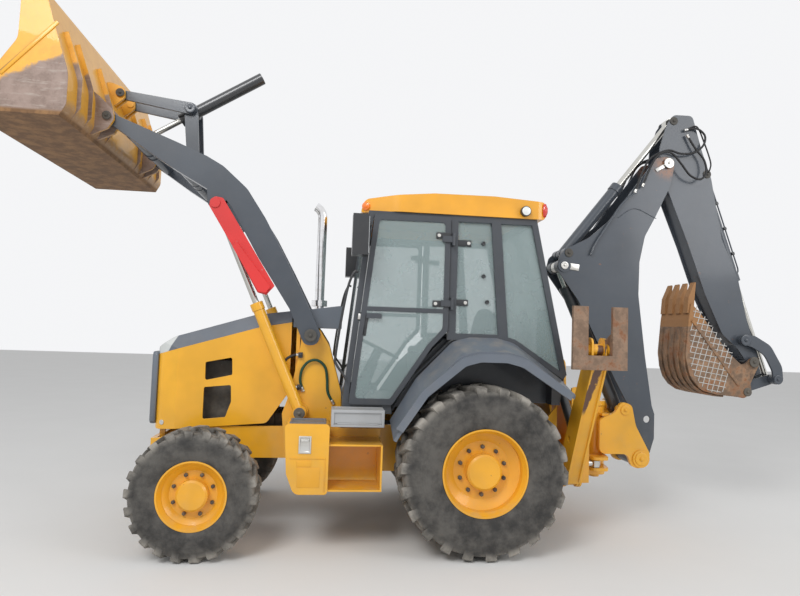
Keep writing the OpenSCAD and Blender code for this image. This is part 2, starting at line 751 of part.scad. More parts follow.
module loader_bucket() {
    half = bucket_w / 2;
    color("#d99a1c")
        placed() {
            slab(-half, half)
                polygon(outline(bucket_back));
            both() {
                slab(half - bucket_t, half)
                    polygon(outline(bucket_side));
                // Two ears at each arm, and one on each side of the tilt link
                difference() {
                    union() {
                        for (y = [arm_in - side_gap - ear_t, arm_out + side_gap])
                            slab(y, y + ear_t)
                                polygon(outline([[-3120, 3125, 0], [-2980, 3195, 30], [-2935, 3270, 50],
                                    [-2950, 3345, 40], [-3050, 3440, 0], [-3130, 3500, 0]]));
                        for (y = [link_in - 7 - 22, link_in + link_t + 7])
                            slab(y, y + 22)
                                polygon(outline([[-3145, 3530, 0], [-3038, 3630, 40], [-3044, 3716, 40],
                                    [-3150, 3752, 0], [-3220, 3752, 0]]));
                        // Pin ends, one in each ear, clear of the link between them
                        pin_y(link_pin, 32, link_in - 7 - 30, link_in - 7);
                        pin_y(link_pin, 32, link_in + link_t + 7, link_in + link_t + 7 + 30);
                    }
                    slab(0, half - bucket_t)
                        polygon(outline(bucket_hollow));
                }
                pin_y(bucket_pin, 25, arm_in - side_gap - ear_t, arm_out + side_gap + ear_t + 8);
            }
            // Ribs down the back
            difference() {
                for (y = [-1000, -800, -380, 380, 800, 1000])
                    slab(y - 8, y + 8)
                        polygon([[-3110, 3135], [-3050, 3220], [-3050, 3440], [-3165, 3780], [-3215, 3770],
                            [-3150, 3500]]);
                slab(-half, half)
                    polygon(outline(bucket_hollow));
            }
        }
}

module tilt_lever() {
    color("#3b4046")
        placed() {
            both()
                difference() {
                    slab(lever_half, lever_half + 24)
                        polygon(bar_outline(lever_pivot, lever_top, 50, 58));
                    pin_y(lever_pivot, 28 + running_gap, lever_half - 1, lever_half + 30);
                }
            both()
                pin_y(lever_top, 28, tilt_rod_r + 9, lever_half + 60);
        }
}

link_in = lever_half + 24 + side_gap;
link_t = 22;
module tilt_link() {
    color("#3b4046")
        placed()
            both()
                difference() {
                    slab(link_in, link_in + link_t)
                        polygon(bar_outline(lever_top, link_pin, 52, 38));
                    pin_y(lever_top, 28 + running_gap, link_in - 1, link_in + link_t + 1);
                    pin_y(link_pin, 24 + running_gap, link_in - 1, link_in + link_t + 1);
                }
}

tilt_a = heading(lever_top, tilt_rod_pin);
tilt_back = 700;
tilt_front = 130;
tilt_rod_r = 25;
module tilt_barrel() {
    color("#26292c")
        placed()
            difference() {
                union() {
                    along(lever_top, tilt_a)
                        translate([0, 0, -tilt_back])
                            cylinder(h = tilt_back + tilt_front, r = 52);
                    along(lever_top, tilt_a)
                        translate([0, 0, tilt_front - 60])
                            cylinder(h = 60, r = 58);
                    pin_y(lever_top, 54, -lever_half + 28, lever_half - 28);
                }
                along(lever_top, tilt_a)
                    translate([0, 0, -tilt_back + 24])
                        cylinder(h = 1200, r = tilt_rod_r + running_gap);
                both()
                    pin_y(lever_top, 28 + running_gap, tilt_rod_r + 9 - running_gap, lever_half);
            }
}

module tilt_rod() {
    color("#c9ccd0")
        placed() {
            along(tilt_rod_pin, tilt_a + 180)
                cylinder(h = 820, r = tilt_rod_r);
            pin_y(tilt_rod_pin, 42, -38, 38);
        }
}

lift_a = heading(lift_base, lift_top);
lift_len = 940;
lift_rod_r = 25;
module lift_barrels() {
    color("#e8a317")
        placed()
            both()
                difference() {
                    union() {
                        along(lift_base, lift_a, arm_y)
                            cylinder(h = lift_len, r = 46);
                        along(lift_base, lift_a, arm_y)
                            translate([0, 0, lift_len - 60])
                                cylinder(h = 60, r = 52);
                        pin_y(lift_base, 56, arm_y - 40, arm_y + 40);
                    }
                    pin_y(lift_base, 34 + running_gap, arm_y - 60, arm_y + 60);
                    along(lift_base, lift_a, arm_y)
                        translate([0, 0, 62])
                            cylinder(h = 1200, r = lift_rod_r + running_gap);
                }
}

module lift_rods() {
    color("#c9ccd0")
        placed()
            both() {
                along(lift_top, lift_a + 180, arm_y)
                    cylinder(h = 960, r = lift_rod_r);
                pin_y(lift_top, 42, arm_y - 23, arm_y + 23);
            }
}

// Backhoe boom: two side plates, a box between them, and open lobes that hold the cylinders
boom_plate = [[1600, 640, 60], [1700, 500, 95], [1800, 640, 90], [1843, 780, 60], [1845, 1004, 0],
    [1818, 1082, 0], [1746, 1545, 300], [1675, 2114, 300], [1682, 2427, 0], [1734, 2677, 200],
    [1832, 2858, 0], [1990, 3180, 200], [2030, 3394, 66], [1962, 3464, 66], [1850, 3440, 40],
    [1727, 3281, 0], [1371, 2800, 0], [1178, 2633, 200], [1000, 2540, 40], [900, 2462, 60],
    [868, 2330, 70], [1085, 2040, 200], [1440, 1342, 200], [1585, 1080, 100]];
boom_box = [[1610, 760, 40], [1690, 690, 0], [1822, 800, 40], [1830, 1004, 0], [1728, 1545, 300],
    [1656, 2114, 300], [1664, 2427, 0], [1716, 2680, 200], [1900, 3080, 0], [1850, 3240, 40],
    [1727, 3150, 0], [1430, 2740, 60], [1260, 2560, 60], [1225, 2330, 60], [1290, 2016, 100],
    [1560, 1342, 100]];

module backhoe_boom() {
    inner = boom_half_w - boom_t;
    color("#3b4046")
        placed() {
            difference() {
                union() {
                    both()
                        slab(inner, boom_half_w)
                            polygon(outline(boom_plate));
                    slab(-inner, inner)
                        difference() {
                            polygon(outline(boom_box));
                            polygon(inset(outline(boom_box), boom_t));
                        }
                    pin_y(boom_foot, 78, -boom_half_w, boom_half_w);
                    both()
                        pin_y(boom_cyl_top, 62, 48, boom_half_w + 10);
                    both()
                        pin_y(dipper_cyl_base, 52, 62, boom_half_w);
                }
                pin_y(boom_foot, 42 + running_gap, -boom_half_w - 1, boom_half_w + 1);
                pin_y([1770, 955], 32, -boom_half_w - 20, boom_half_w + 20);
            }
            // Pins: dipper's, and the dipper cylinder's
            pin_y(dipper_pin, 36, -boom_half_w - 14, boom_half_w + 14);
            pin_y(dipper_cyl_base, 28, -64, 64);
        }
}

boom_cyl_len = 1250;
boom_rod_r = 35;
boom_a = heading(boom_cyl_base, boom_cyl_top);
module boom_barrel() {
    color("#26292c")
        placed()
            ram_barrel(boom_cyl_base, boom_a, 0, boom_cyl_len, 62, boom_rod_r, 62, 84, 34);
}
module boom_rod() {
    color("#c9ccd0")
        placed() {
            along(boom_cyl_top, boom_a + 180)
                cylinder(h = 1330, r = boom_rod_r);
            pin_y(boom_cyl_top, 58, -42, 42);
        }
}

dipper_cyl_len = 880;
dipper_rod_r = 32;
dipper_a = heading(dipper_cyl_base, dipper_cyl_top);
module dipper_barrel() {
    color("#26292c")
        placed()
            ram_barrel(dipper_cyl_base, dipper_a, 0, dipper_cyl_len, 56, dipper_rod_r, 52, 84, 28);
}
module dipper_rod() {
    color("#c9ccd0")
        placed() {
            along(dipper_cyl_top, dipper_a + 180)
                cylinder(h = 895, r = dipper_rod_r);
            pin_y(dipper_cyl_top, 46, -38, 38);
        }
}

// Dipper: a box beam, its head open between the plates for the dipper cylinder's rod
dipper_plate = [[1975, 3790, 40], [2046, 3895, 56], [2240, 3900, 50], [2340, 3560, 150], [2440, 3290, 100],
    [2553, 2700, 0], [2722, 2326, 200], [2815, 1925, 0], [2935, 1560, 60], [2860, 1450, 66],
    [2720, 1640, 0], [2560, 1776, 100], [2383, 2150, 0], [2210, 2616, 0], [1975, 3186, 150],
    [1890, 3380, 76], [1905, 3560, 60]];
dipper_box = [[2040, 3560, 40], [2190, 3600, 60], [2310, 3440, 60], [2300, 3200, 0], [2530, 2500, 0],
    [2690, 2100, 0], [2800, 1720, 40], [2700, 1660, 40], [2580, 1790, 100], [2400, 2157, 0],
    [2228, 2620, 0], [2010, 3190, 100], [1990, 3440, 40]];

module dipper() {
    inner = dipper_half_w - boom_t;
    color("#3b4046")
        placed()
            difference() {
                union() {
                    both()
                        slab(inner, dipper_half_w)
                            polygon(outline(dipper_plate));
                    slab(-inner, inner)
                        difference() {
                            polygon(outline(dipper_box));
                            polygon(inset(outline(dipper_box), boom_t));
                        }
                    pin_y(dipper_pin, 70, -boom_half_w + boom_t + side_gap, boom_half_w - boom_t - side_gap);
                    pin_y(guide_pin, 50, -dipper_half_w, dipper_half_w);
                    both() {
                        pin_y(hoe_pin, 52, dipper_half_w - 40, dipper_half_w);
                        pin_y(bucket_cyl_base, 44, 52, dipper_half_w);
                    }
                }
                pin_y(dipper_pin, 36 + running_gap, -boom_half_w, boom_half_w);
                pin_y(guide_pin, 25 + running_gap, -dipper_half_w - 1, dipper_half_w + 1);
            }
    // Pins of the bucket and of the bucket cylinder
    color("#3b4046")
        placed() {
            pin_y(hoe_pin, 28, -hoe_ear_out - 12, hoe_ear_out + 12);
            pin_y(bucket_cyl_base, 24, -54, 54);
        }
}

// Backhoe bucket: side plates, curved shell, ears, lip and teeth
hoe_ear_in = dipper_half_w + side_gap;
hoe_ear_out = hoe_ear_in + 22;
hoe_side = [[2150, 2050, 0], [2126, 1897, 0], [2096, 1561, 200], [2143, 1364, 200], [2260, 1240, 150],
    [2420, 1205, 200], [2620, 1190, 0], [2690, 1176, 60], [2760, 1240, 40], [2740, 1420, 60], [2540, 1590, 0],
    [2400, 1750, 0], [2230, 1980, 0]];
hoe_shell = [[2150, 2050, 0], [2126, 1897, 0], [2096, 1561, 200], [2143, 1364, 200], [2260, 1240, 150],
    [2420, 1205, 200], [2620, 1190, 0], [2621, 1208, 0], [2424, 1223, 182], [2268, 1257, 132],
    [2160, 1372, 182], [2114, 1561, 182], [2144, 1897, 0], [2168, 2050, 0]];
hoe_ear = [[2560, 1204, 0], [2640, 1196, 0], [2700, 1172, 50], [2800, 1240, 50], [2930, 1500, 50], [2880, 1585, 50],
    [2790, 1500, 60], [2660, 1470, 0], [2560, 1500, 0]];

module backhoe_bucket() {
    half = hoe_w / 2;
    color("#7d5236")
        placed() {
            both()
                slab(half - hoe_t, half)
                    polygon(outline(hoe_side));
            slab(-half, half)
                polygon(outline(hoe_shell));
            difference() {
                both()
                    slab(hoe_ear_in, hoe_ear_out)
                        polygon(outline(hoe_ear));
                pin_y(hoe_pin, 28 + running_gap, -200, 200);
                pin_y(link_d, 26 + running_gap, -200, 200);
            }
            // Teeth on the lip
            for (i = [0:3])
                slab(-half + 12 + i * (hoe_w - 24 - 70) / 3, -half + 82 + i * (hoe_w - 24 - 70) / 3)
                    polygon([[2118, 1960], [2182, 1960], [2190, 2090], [2204, 2250], [2192, 2252], [2130, 2110]]);
        }
}

guide_y0 = hoe_ear_out + 14;
guide_y1 = guide_y0 + 20;
module guide_link() {
    color("#3b4046")
        placed() {
            both() {
                slab(guide_y0, guide_y1)
                    polygon(outline([[2700, 1700, 40], [2750, 1782, 46], [2860, 1768, 120], [3020, 1680, 160],
                        [3140, 1480, 150], [3152, 1330, 44], [3060, 1300, 40], [3040, 1440, 120], [2960, 1590, 160],
                        [2830, 1660, 120]]));
                pin_y(link_b, 46, 78, guide_y0);
                pin_y(guide_pin, 44, dipper_half_w + 2, guide_y0);
            }
            pin_y(guide_pin, 25, -guide_y1 - 10, guide_y1 + 10);
        }
}

module bucket_link() {
    color("#3b4046")
        placed() {
            both()
                slab(45, 74)
                    polygon(bar_outline(link_b, link_d, 46, 50));
            slab(-45, 45)
                polygon(bar_outline(toward(link_d, link_b, 80), toward(link_d, link_b, 220), 36, 36));
            pin_y(link_d, 50, -hoe_ear_in + side_gap, hoe_ear_in - side_gap);
            pin_y(link_d, 26, -hoe_ear_out - 10, hoe_ear_out + 10);
        }
}

bucket_cyl_len = 1090;
bucket_rod_r = 28;
bucket_a = heading(bucket_cyl_base, link_b);
module bucket_barrel() {
    color("#26292c")
        placed()
            ram_barrel(bucket_cyl_base, bucket_a, 0, bucket_cyl_len, 46, bucket_rod_r, 44, 76, 24);
}
module bucket_rod() {
    color("#c9ccd0")
        placed() {
            along(link_b, bucket_a + 180)
                cylinder(h = 1110, r = bucket_rod_r);
            pin_y(link_b, 42, -36, 36);
        }
}

// Hood: yellow sides and nose, dark top; it turns forward about a pin low at the nose
nose_x = -2600;
hood_end_x = -1515;
hood_side = [[-2606, 838, 30], [-2540, 838, 0], [-1690, 905, 60], [-1525, 1150, 60], [-1505, 1380, 0],
    [-1505, 1742, 0], [-1770, 1692, 0], [-2553, 1454, 0], [-2606, 1440, 0]];
hood_plan = [[nose_x, -hood_half_w + 70, 110], [-2420, -hood_half_w, 0], [-1400, -hood_half_w, 0],
    [-1400, hood_half_w, 0], [-2420, hood_half_w, 0], [nose_x, hood_half_w - 70, 110]];
vent_up = [[-2198, 1391, 14], [-1987, 1435, 14], [-1980, 1293, 14], [-2195, 1244, 14]];
vent_low = [[-2201, 1188, 14], [-1987, 1210, 14], [-1980, 1075, 40], [-2022, 949, 14], [-2201, 930, 14]];
// The dark top, outside and inside
hood_crown = [[-2606, 1440, 0], [-2553, 1454, 0], [-1770, 1692, 0], [-1505, 1742, 0], [-1505, 1838, 0],
    [-1690, 1812, 0], [-1831, 1790, 60], [-2465, 1590, 80], [-2606, 1490, 60]];
hood_under = [[-2588, 1430, 0], [-2553, 1430, 0], [-1770, 1670, 0], [-1400, 1720, 0], [-1400, 1825, 0],
    [-1690, 1794, 0], [-1831, 1772, 42], [-2459, 1572, 62], [-2588, 1482, 42]];

module hood_wall(t) {
    translate([0, 0, 500])
        linear_extrude(1500)
            difference() {
                polygon(outline(hood_plan));
                polygon(inset(outline(hood_plan), -t));
            }
}

module hood_panels() {
    color("#e8a317")
        placed() {
            difference() {
                intersection() {
                    hood_wall(hood_t);
                    slab(-hood_half_w - 1, hood_half_w + 1)
                        polygon(outline(hood_side));
                }
                slab(-500, 500)
                    polygon(outline(vent_up));
                slab(-500, 500)
                    polygon(outline(vent_low));
                // Nose opening for the grille
                box(-2700, -2540, -300, 300, 900, 1400);
                box(hood_end_x, -1390, -500, 500, 800, 1900);
            }
            // Hinge plates behind the nose's lower edge
            both()
                difference() {
                    slab(226, 246)
                        polygon(outline([[nose_x + hood_t - 8, 896, 0], [nose_x + hood_t - 8, 846, 0], [-2560, 806, 16],
                            [-2525, 806, 20], [-2525, 846, 20], [-2560, 896, 0]]));
                    pin_y(hood_pin, 11 + running_gap, 200, 260);
                }
        }
}

// The hood's top as a block with leaning shoulders, set in by t
module hood_block(t, profile) {
    difference() {
        intersection() {
            slab(-hood_half_w, hood_half_w)
                polygon(outline(profile));
            translate([0, 0, 500])
                linear_extrude(1500)
                    polygon(inset(outline(hood_plan), -t));
        }
        both()
            translate([0, hood_half_w - 1.16 * t, 2230])
                rotate([0, -16.9, 0])
                    rotate([30.5, 0, 0])
                        translate([-3000, 0, -500])
                            cube([3000, 500, 1000]);
    }
}

module hood_trim() {
    color("#34383d")
        placed() {
            // Top, open below, its edge on the sides
            difference() {
                hood_block(0, hood_crown);
                hood_block(hood_t, hood_under);
                box(hood_end_x, -1390, -500, 500, 800, 1900);
            }
            // Nose grille, with louvres
            difference() {
                box(nose_x - 10, nose_x + hood_t, -300, 300, 900, 1400);
                box(nose_x - 1, nose_x + hood_t + 1, -280, 280, 920, 1380);
                for (i = [0:10])
                    box(nose_x - 11, nose_x + 1, -270, 270, 925 + i * 42, 925 + i * 42 + 26);
            }
        }
}

// Cab: floor, posts, rails and rear frame; panes, doors and roof are separate
a_top = [-905, 2655];
a_foot = [-1062, 1130];
b_top = [-225, 2655];
b_foot = [-225, 1640];
c_top = [118, 2655];
c_foot = [205, 1630];
d_top = [440, 2655];
d_foot = [720, 1380];
rail_top = 2655;
cab_in = cab_half_w - post_w + 7;

// The edge where the cab's side meets the fender, and the lines over and under it
arch_mid = [[-704, 1017, 0], [-507, 1333, 80], [-217, 1622, 120], [-80, 1658, 150], [150, 1658, 150],
    [290, 1625, 200], [690, 1358, 0]];
arch_low = [[680, 1330, 0], [278, 1598, 180], [145, 1630, 130], [-75, 1630, 130], [-200, 1596, 100],
    [-487, 1318, 80], [-682, 1005, 0]];

module post(p, q, w) {
    slab(cab_in, cab_half_w)
        polygon([p + [-w / 2, 0], p + [w / 2, 0], q + [w / 2, 0], q + [-w / 2, 0]]);
}

module cab_posts() {
    both() {
        post(a_top, a_foot, 46);
        post(b_top, b_foot, 60);
        post(c_top, c_foot, 80);
        post(d_top, d_foot, 50);
        // Header rail, and the sill over the fender
        slab(cab_in, cab_half_w)
            polygon([[-928, rail_top], [-923, 2604], [451, 2604], [465, rail_top]]);
        slab(cab_in, cab_half_w)
            polygon(outline([[-256, 1640, 0], [-256, 1694, 0], [150, 1694, 150], [300, 1662, 200], [740, 1380, 0],
                [716, 1345, 0], [290, 1610, 200], [150, 1640, 150]]));
        // Door sill
        slab(cab_in, cab_half_w)
            polygon([[-1085, 1040], [-1085, 1130], [-700, 1130], [-690, 1040]]);
    }
    // Cowl wall, and the cross rails over the windscreen and the rear pane
    box(-1085, -1039, -cab_half_w, cab_half_w, 1040, 1130);
    slab(-cab_in, cab_in)
        polygon([[-933, 2604], [-885, 2604], [-885, rail_top], [-928, rail_top]]);
    slab(-cab_in, cab_in)
        polygon([[415, 2604], [451, 2604], [465, rail_top], [415, rail_top]]);
    slab(-cab_in, cab_in)
        polygon([[640, 1130], [640, 1400], [716, 1400], [745, 1380], [710, 1130]]);
}

module cab_frame() {
    color("#2e3237")
        placed() {
            cab_posts();
            // Floor, the raised floor over the axle, and the walls inboard of the wheels
            box(-1040, -420, -557, 557, floor_z - 24, floor_z);
            box(-1040, -704, -cab_in, cab_in, floor_z - 24, floor_z);
            slab(-557, 557)
                polygon([[-440, floor_z - 24], [-440, floor_z], [-400, 1180], [640, 1180], [640, 1156],
                    [-385, 1156], [-420, floor_z - 24]]);
            both() {
                slab(545, 557)
                    polygon([[-704, 1076], [-690, 1100], [-507, 1390], [-256, 1640], [150, 1640], [290, 1610],
                        [716, 1345], [700, 1130], [-380, 1130], [-420, 1076]]);
                slab(550, cab_in + 1)
                    polygon(outline([[-704, 1040, 0], [-518, 1340, 80], [-228, 1629, 120], [-80, 1668, 150],
                        [150, 1668, 150], [290, 1634, 200], [722, 1356, 0], [716, 1345, 0], [286, 1623, 190],
                        [147, 1656, 140], [-78, 1656, 140], [-220, 1618, 110], [-507, 1333, 80], [-690, 1040, 0]]));
            }
            // Hinge lugs and pins for the doors
            both()
                for (z = hinge_z) {
                    for (h = [z - 50, z + 26])
                        translate([door_axis[0], door_axis[1], h]) {
                            cylinder(h = 24, r = 13);
                            translate([-11, -40, 0])
                                cube([22, 40, 24]);
                        }
                    translate([door_axis[0], door_axis[1], z - 50])
                        cylinder(h = 100, r = 6);
                }
            // Feet on the frame rails
            both()
                for (x = [-1000, -480])
                    box(x, x + 60, 340, 400, 905, floor_z - 24);
            both()
                box(180, 240, 340, 400, 905, 1160);
        }
}

module cab_roof() {
    color("#e8a317")
        placed()
            difference() {
                intersection() {
                    slab(-cab_half_w - 25, cab_half_w + 25)
                        polygon(outline([[-990, rail_top, 20], [520, rail_top, 20], [552, 2690, 30], [540, 2800, 40],
                            [100, roof_top, 200], [-400, roof_top - 5, 300], [-960, 2765, 60]]));
                    translate([0, 0, 2000])
                        linear_extrude(1000)
                            polygon(outline([[-1000, -620, 90], [-700, -cab_half_w - 20, 200],
                                [560, -cab_half_w - 20, 90], [560, cab_half_w + 20, 90],
                                [-700, cab_half_w + 20, 200], [-1000, 620, 90]]));
                }
                box(-860, 400, -640, 640, 2600, 2740);
            }
}

module cab_glass() {
    glass_y = cab_half_w - 30;
    color("#a8c6c4")
        placed()
            difference() {
                union() {
                    // Windscreen and rear pane
                    slab(-cab_in, cab_in)
                        polygon([[-1068, 1130], [-1062, 1130], [-912, 2604], [-918, 2604]]);
                    slab(-cab_in, cab_in)
                        polygon([[708, 1400], [714, 1400], [452, 2604], [446, 2604]]);
                    both() {
                        slab(glass_y, glass_y + pane_t)
                            polygon([[-194, 1650], [-194, 2620], [78, 2620], [200, 1650]]);
                        slab(glass_y, glass_y + pane_t)
                            polygon([[200, 1600], [120, 2620], [448, 2620], [720, 1390]]);
                    }
                }
                cab_posts();
            }
}

// Doors, hinged behind at the second post
door_axis = [-238, cab_half_w + 40];
hinge_z = [1930, 2450];
door_gap = 3;
door_w = 24;
door_frame = [[-1036, 1112, 20], [-880, 2628, 20], [-262, 2632, 20], [-262, 1712, 60], [-390, 1575, 100],
    [-694, 1112, 30]];
door_pane = [[-990, 1160, 30], [-842, 2580, 30], [-304, 2584, 30], [-304, 1726, 80], [-418, 1604, 80],
    [-712, 1160, 30]];
door_bar = [1850, 1884];
module door() {
    color("#2e3237")
        placed()
            mirror([0, 1, 0]) {
                difference() {
                    slab(cab_half_w + door_gap, cab_half_w + door_gap + door_w)
                        polygon(outline(door_frame));
                    difference() {
                        slab(cab_half_w, cab_half_w + 40)
                            polygon(outline(door_pane));
                        box(-1000, -250, cab_half_w - 1, cab_half_w + 50, door_bar[0], door_bar[1]);
                    }
                }
                // Hinge straps and knuckles
                for (z = hinge_z)
                    difference() {
                        union() {
                            translate([door_axis[0], door_axis[1], z - 25])
                                cylinder(h = 50, r = 13);
                            box(-330, door_axis[0], cab_half_w + door_gap + door_w, door_axis[1] + 4, z - 25, z + 25);
                        }
                        translate([door_axis[0], door_axis[1], z - 60])
                            cylinder(h = 120, r = 6 + running_gap);
                    }
                // Handle
                box(-920, -800, cab_half_w + door_gap + door_w, cab_half_w + door_gap + door_w + 22, 1790, 1830);
            }
}
module door_glass() {
    color("#a8c6c4")
        placed()
            mirror([0, 1, 0])
                difference() {
                    slab(cab_half_w + 12, cab_half_w + 12 + pane_t)
                        polygon(outline(door_pane));
                    box(-1000, -250, cab_half_w - 1, cab_half_w + 50, door_bar[0], door_bar[1]);
                }
}
module door_left() { door(); }
module door_right() { mirror([0, 1, 0]) door(); }
module door_left_glass() { door_glass(); }
module door_right_glass() { mirror([0, 1, 0]) door_glass(); }

// Seat pedestal, steering column with its wheel, and the two side consoles
wheel_c = [-742, 1530];
module operator_station() {
    color("#26292c")
        placed() {
            box(-300, 150, -150, 150, 1180, 1340);
            both()
                slab(300, 470)
                    polygon(outline([[-420, 1180, 0], [-420, 1560, 40], [-200, 1560, 40], [-120, 1480, 60],
                        [300, 1480, 40], [300, 1180, 0]]));
            slab(-70, 70)
                polygon([[-1000, floor_z], [-860, floor_z], [-728, 1500], [-790, 1520]]);
            translate([wheel_c[0], 0, wheel_c[1]])
                rotate([0, 25, 0]) {
                    rotate_extrude()
                        translate([180, 0])
                            circle(r = 14);
                    translate([0, 0, -30])
                        cylinder(h = 40, r = 45);
                    for (a = [90, 210, 330])
                        rotate([0, 0, a])
                            translate([0, -16, -5])
                                cube([180, 32, 10]);
                }
        }
}
module operator_seat() {
    color("#303338")
        placed()
            slab(-240, 240)
                polygon(outline([[-330, 1340.3, 20], [-330, 1440, 50], [110, 1420, 20], [200, 1920, 44],
                    [300, 1900, 44], [210, 1340.3, 40]]));
}

// Fenders over the rear wheels, and the dark cowl between hood and windscreen
cowl_low = 1700;
fender_rim = 1052;
fender_tilt = 18;
cowl = [[-1500, cowl_low, 0], [-1500, 1832, 20], [-1104, 1892, 20], [-1104, cowl_low, 0]];
cowl_under = [[-1488, cowl_low - 20, 0], [-1488, 1820, 12], [-1116, 1876, 12], [-1116, cowl_low - 20, 0]];
lip_high = [[-690, 980, 0], [-500, 1262, 80], [-204, 1512, 120], [-75, 1546, 150], [150, 1546, 150],
    [285, 1515, 200], [672, 1262, 0]];
lip_low = [[640, 1212, 0], [262, 1452, 180], [140, 1482, 130], [-65, 1482, 130], [-178, 1450, 100],
    [-460, 1216, 80], [-640, 950, 0]];

module fenders() {
    color("#4a5560")
        placed() {
            both() {
                // Upper surface, leaning outward
                intersection() {
                    translate([0, cab_half_w, 1500])
                        rotate([-fender_tilt, 0, 0])
                            translate([0, -cab_half_w, -1500])
                                slab(cab_half_w - 250, fender_rim + 250)
                                    polygon(outline(concat(arch_mid, arch_low)));
                    box(-900, 900, cab_half_w, fender_rim, 800, 1800);
                }
                // Outer lip
                slab(fender_rim, fender_rim + 30)
                    polygon(outline(concat(lip_high, lip_low)));
            }
            difference() {
                slab(-480, 480)
                    polygon(outline(cowl));
                slab(-468, 468)
                    polygon(outline(cowl_under));
                translate([pipe_x, pipe_y, 1700])
                    cylinder(h = 300, r = pipe_r + running_gap);
            }
        }
}

// Exhaust stack: pipe, base flange and a curved open tip
pipe_x = -1300;
pipe_y = -300;
pipe_r = 39;
pipe_bend = 110;
module exhaust_stack() {
    color("#c9ccd0")
        placed()
            translate([pipe_x, pipe_y, 0]) {
                difference() {
                    union() {
                        translate([0, 0, 1780])
                            cylinder(h = 870, r = pipe_r);
                        translate([0, 0, 1886])
                            cylinder(h = 50, r = 66);
                    }
                    translate([0, 0, 2300])
                        cylinder(h = 360, r = pipe_r - 5);
                }
                translate([-pipe_bend, 0, 2650])
                    rotate([90, 0, 0])
                        rotate_extrude(angle = 62)
                            translate([pipe_bend, 0])
                                difference() {
                                    circle(r = pipe_r);
                                    circle(r = pipe_r - 5);
                                }
            }
}

module lamps_and_mirrors() {
    color("#1d1f21")
        placed()
            both() {
                box(-938, -918, cab_half_w, 1000, 2490, 2512);
                box(-1060, -938, 870, 1016, 2262, 2572);
                translate([355, cab_half_w + 20, 2712])
                    rotate([-90, 0, 0])
                        cylinder(h = 34, r = 42);
            }
}

// Hydraulic hoses that loop beside the loader towers, and the clamps they end in
module hoses() {
    color("#1d1f21")
        placed()
            both() {
                for (z = [1215, 1475])
                    box(-1448, -1412, tower_y, tower_y + 34, z - 22, z + 22);
                translate([-1448, tower_y + 17, 1345])
                    rotate([90, 0, 0])
                        rotate([0, 0, 90])
                            rotate_extrude(angle = 180)
                                translate([130, 0])
                                    circle(r = 12);
            }
}

main_frame();
powertrain();
cab_frame();
cab_roof();
cab_glass();
operator_station();
operator_seat();
fenders();
exhaust_stack();
lamps_and_mirrors();
backhoe_frame();
hoses();
hood_panels();
hood_trim();
door_left();
door_left_glass();
door_right();
door_right_glass();
knuckle_left();
knuckle_right();
front_tyre_left();
front_rim_left();
front_tyre_right();
front_rim_right();
rear_tyre_left();
rear_rim_left();
rear_tyre_right();
rear_rim_right();
loader_boom();
boom_lock();
loader_bucket();
tilt_lever();
tilt_link();
tilt_barrel();
tilt_rod();
lift_barrels();
lift_rods();
swing_post();
backhoe_boom();
dipper();
backhoe_bucket();
guide_link();
bucket_link();
boom_barrel();
boom_rod();
dipper_barrel();
dipper_rod();
bucket_barrel();
bucket_rod();
swing_rod_left();
swing_rod_right();
stabilizer_leg_left();
stabilizer_pad_left();
stabilizer_barrel_left();
stabilizer_rod_left();
stabilizer_leg_right();
stabilizer_pad_right();
stabilizer_barrel_right();
stabilizer_rod_right();
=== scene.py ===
import math
import bpy
import bmesh
from mathutils import Matrix, Vector


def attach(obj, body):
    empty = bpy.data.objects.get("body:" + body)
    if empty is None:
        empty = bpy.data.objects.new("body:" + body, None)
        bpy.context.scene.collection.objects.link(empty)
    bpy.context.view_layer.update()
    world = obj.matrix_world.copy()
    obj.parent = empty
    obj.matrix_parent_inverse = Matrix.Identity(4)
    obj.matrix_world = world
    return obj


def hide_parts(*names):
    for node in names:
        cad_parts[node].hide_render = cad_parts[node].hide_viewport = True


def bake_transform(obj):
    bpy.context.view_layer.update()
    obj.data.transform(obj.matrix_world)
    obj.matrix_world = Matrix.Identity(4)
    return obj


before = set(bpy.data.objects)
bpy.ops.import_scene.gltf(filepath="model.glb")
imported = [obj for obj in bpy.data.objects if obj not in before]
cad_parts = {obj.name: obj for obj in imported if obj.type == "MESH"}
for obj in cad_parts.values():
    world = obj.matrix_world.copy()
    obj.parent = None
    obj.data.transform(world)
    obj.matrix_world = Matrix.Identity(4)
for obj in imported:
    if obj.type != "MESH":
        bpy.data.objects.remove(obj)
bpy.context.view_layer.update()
bpy.ops.object.select_all(action="DESELECT")
print("frame loaded:", len(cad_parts), "nodes")

# Places are in metres from the middle of the machine; the rear axle is this far behind it
rearAxle = 0.295

# Camera, as the photograph was taken: from the left, a little turned to the rear and tilted up
shot = {"place": (-0.9099, -5.4818, 1.6841), "yaw": 0.1154, "pitch": 0.0579, "roll": 0.034, "focal": 26.92}


def addCamera(shot):
    yaw, pitch, roll = shot["yaw"], shot["pitch"], shot["roll"]
    look = Vector((math.sin(yaw) * math.cos(pitch), math.cos(yaw) * math.cos(pitch), math.sin(pitch)))
    level = Vector((math.cos(yaw), -math.sin(yaw), 0))
    upright = level.cross(look)
    right = level * math.cos(roll) + upright * math.sin(roll)
    up = upright * math.cos(roll) - level * math.sin(roll)
    bpy.ops.object.camera_add(location=shot["place"])
    camera = bpy.context.object
    camera.rotation_euler = Matrix((right, up, -look)).transposed().to_euler()
    camera.data.lens = shot["focal"]
    camera.data.sensor_width = 36
    camera.data.clip_end = 200
    bpy.context.scene.camera = camera


addCamera(shot)


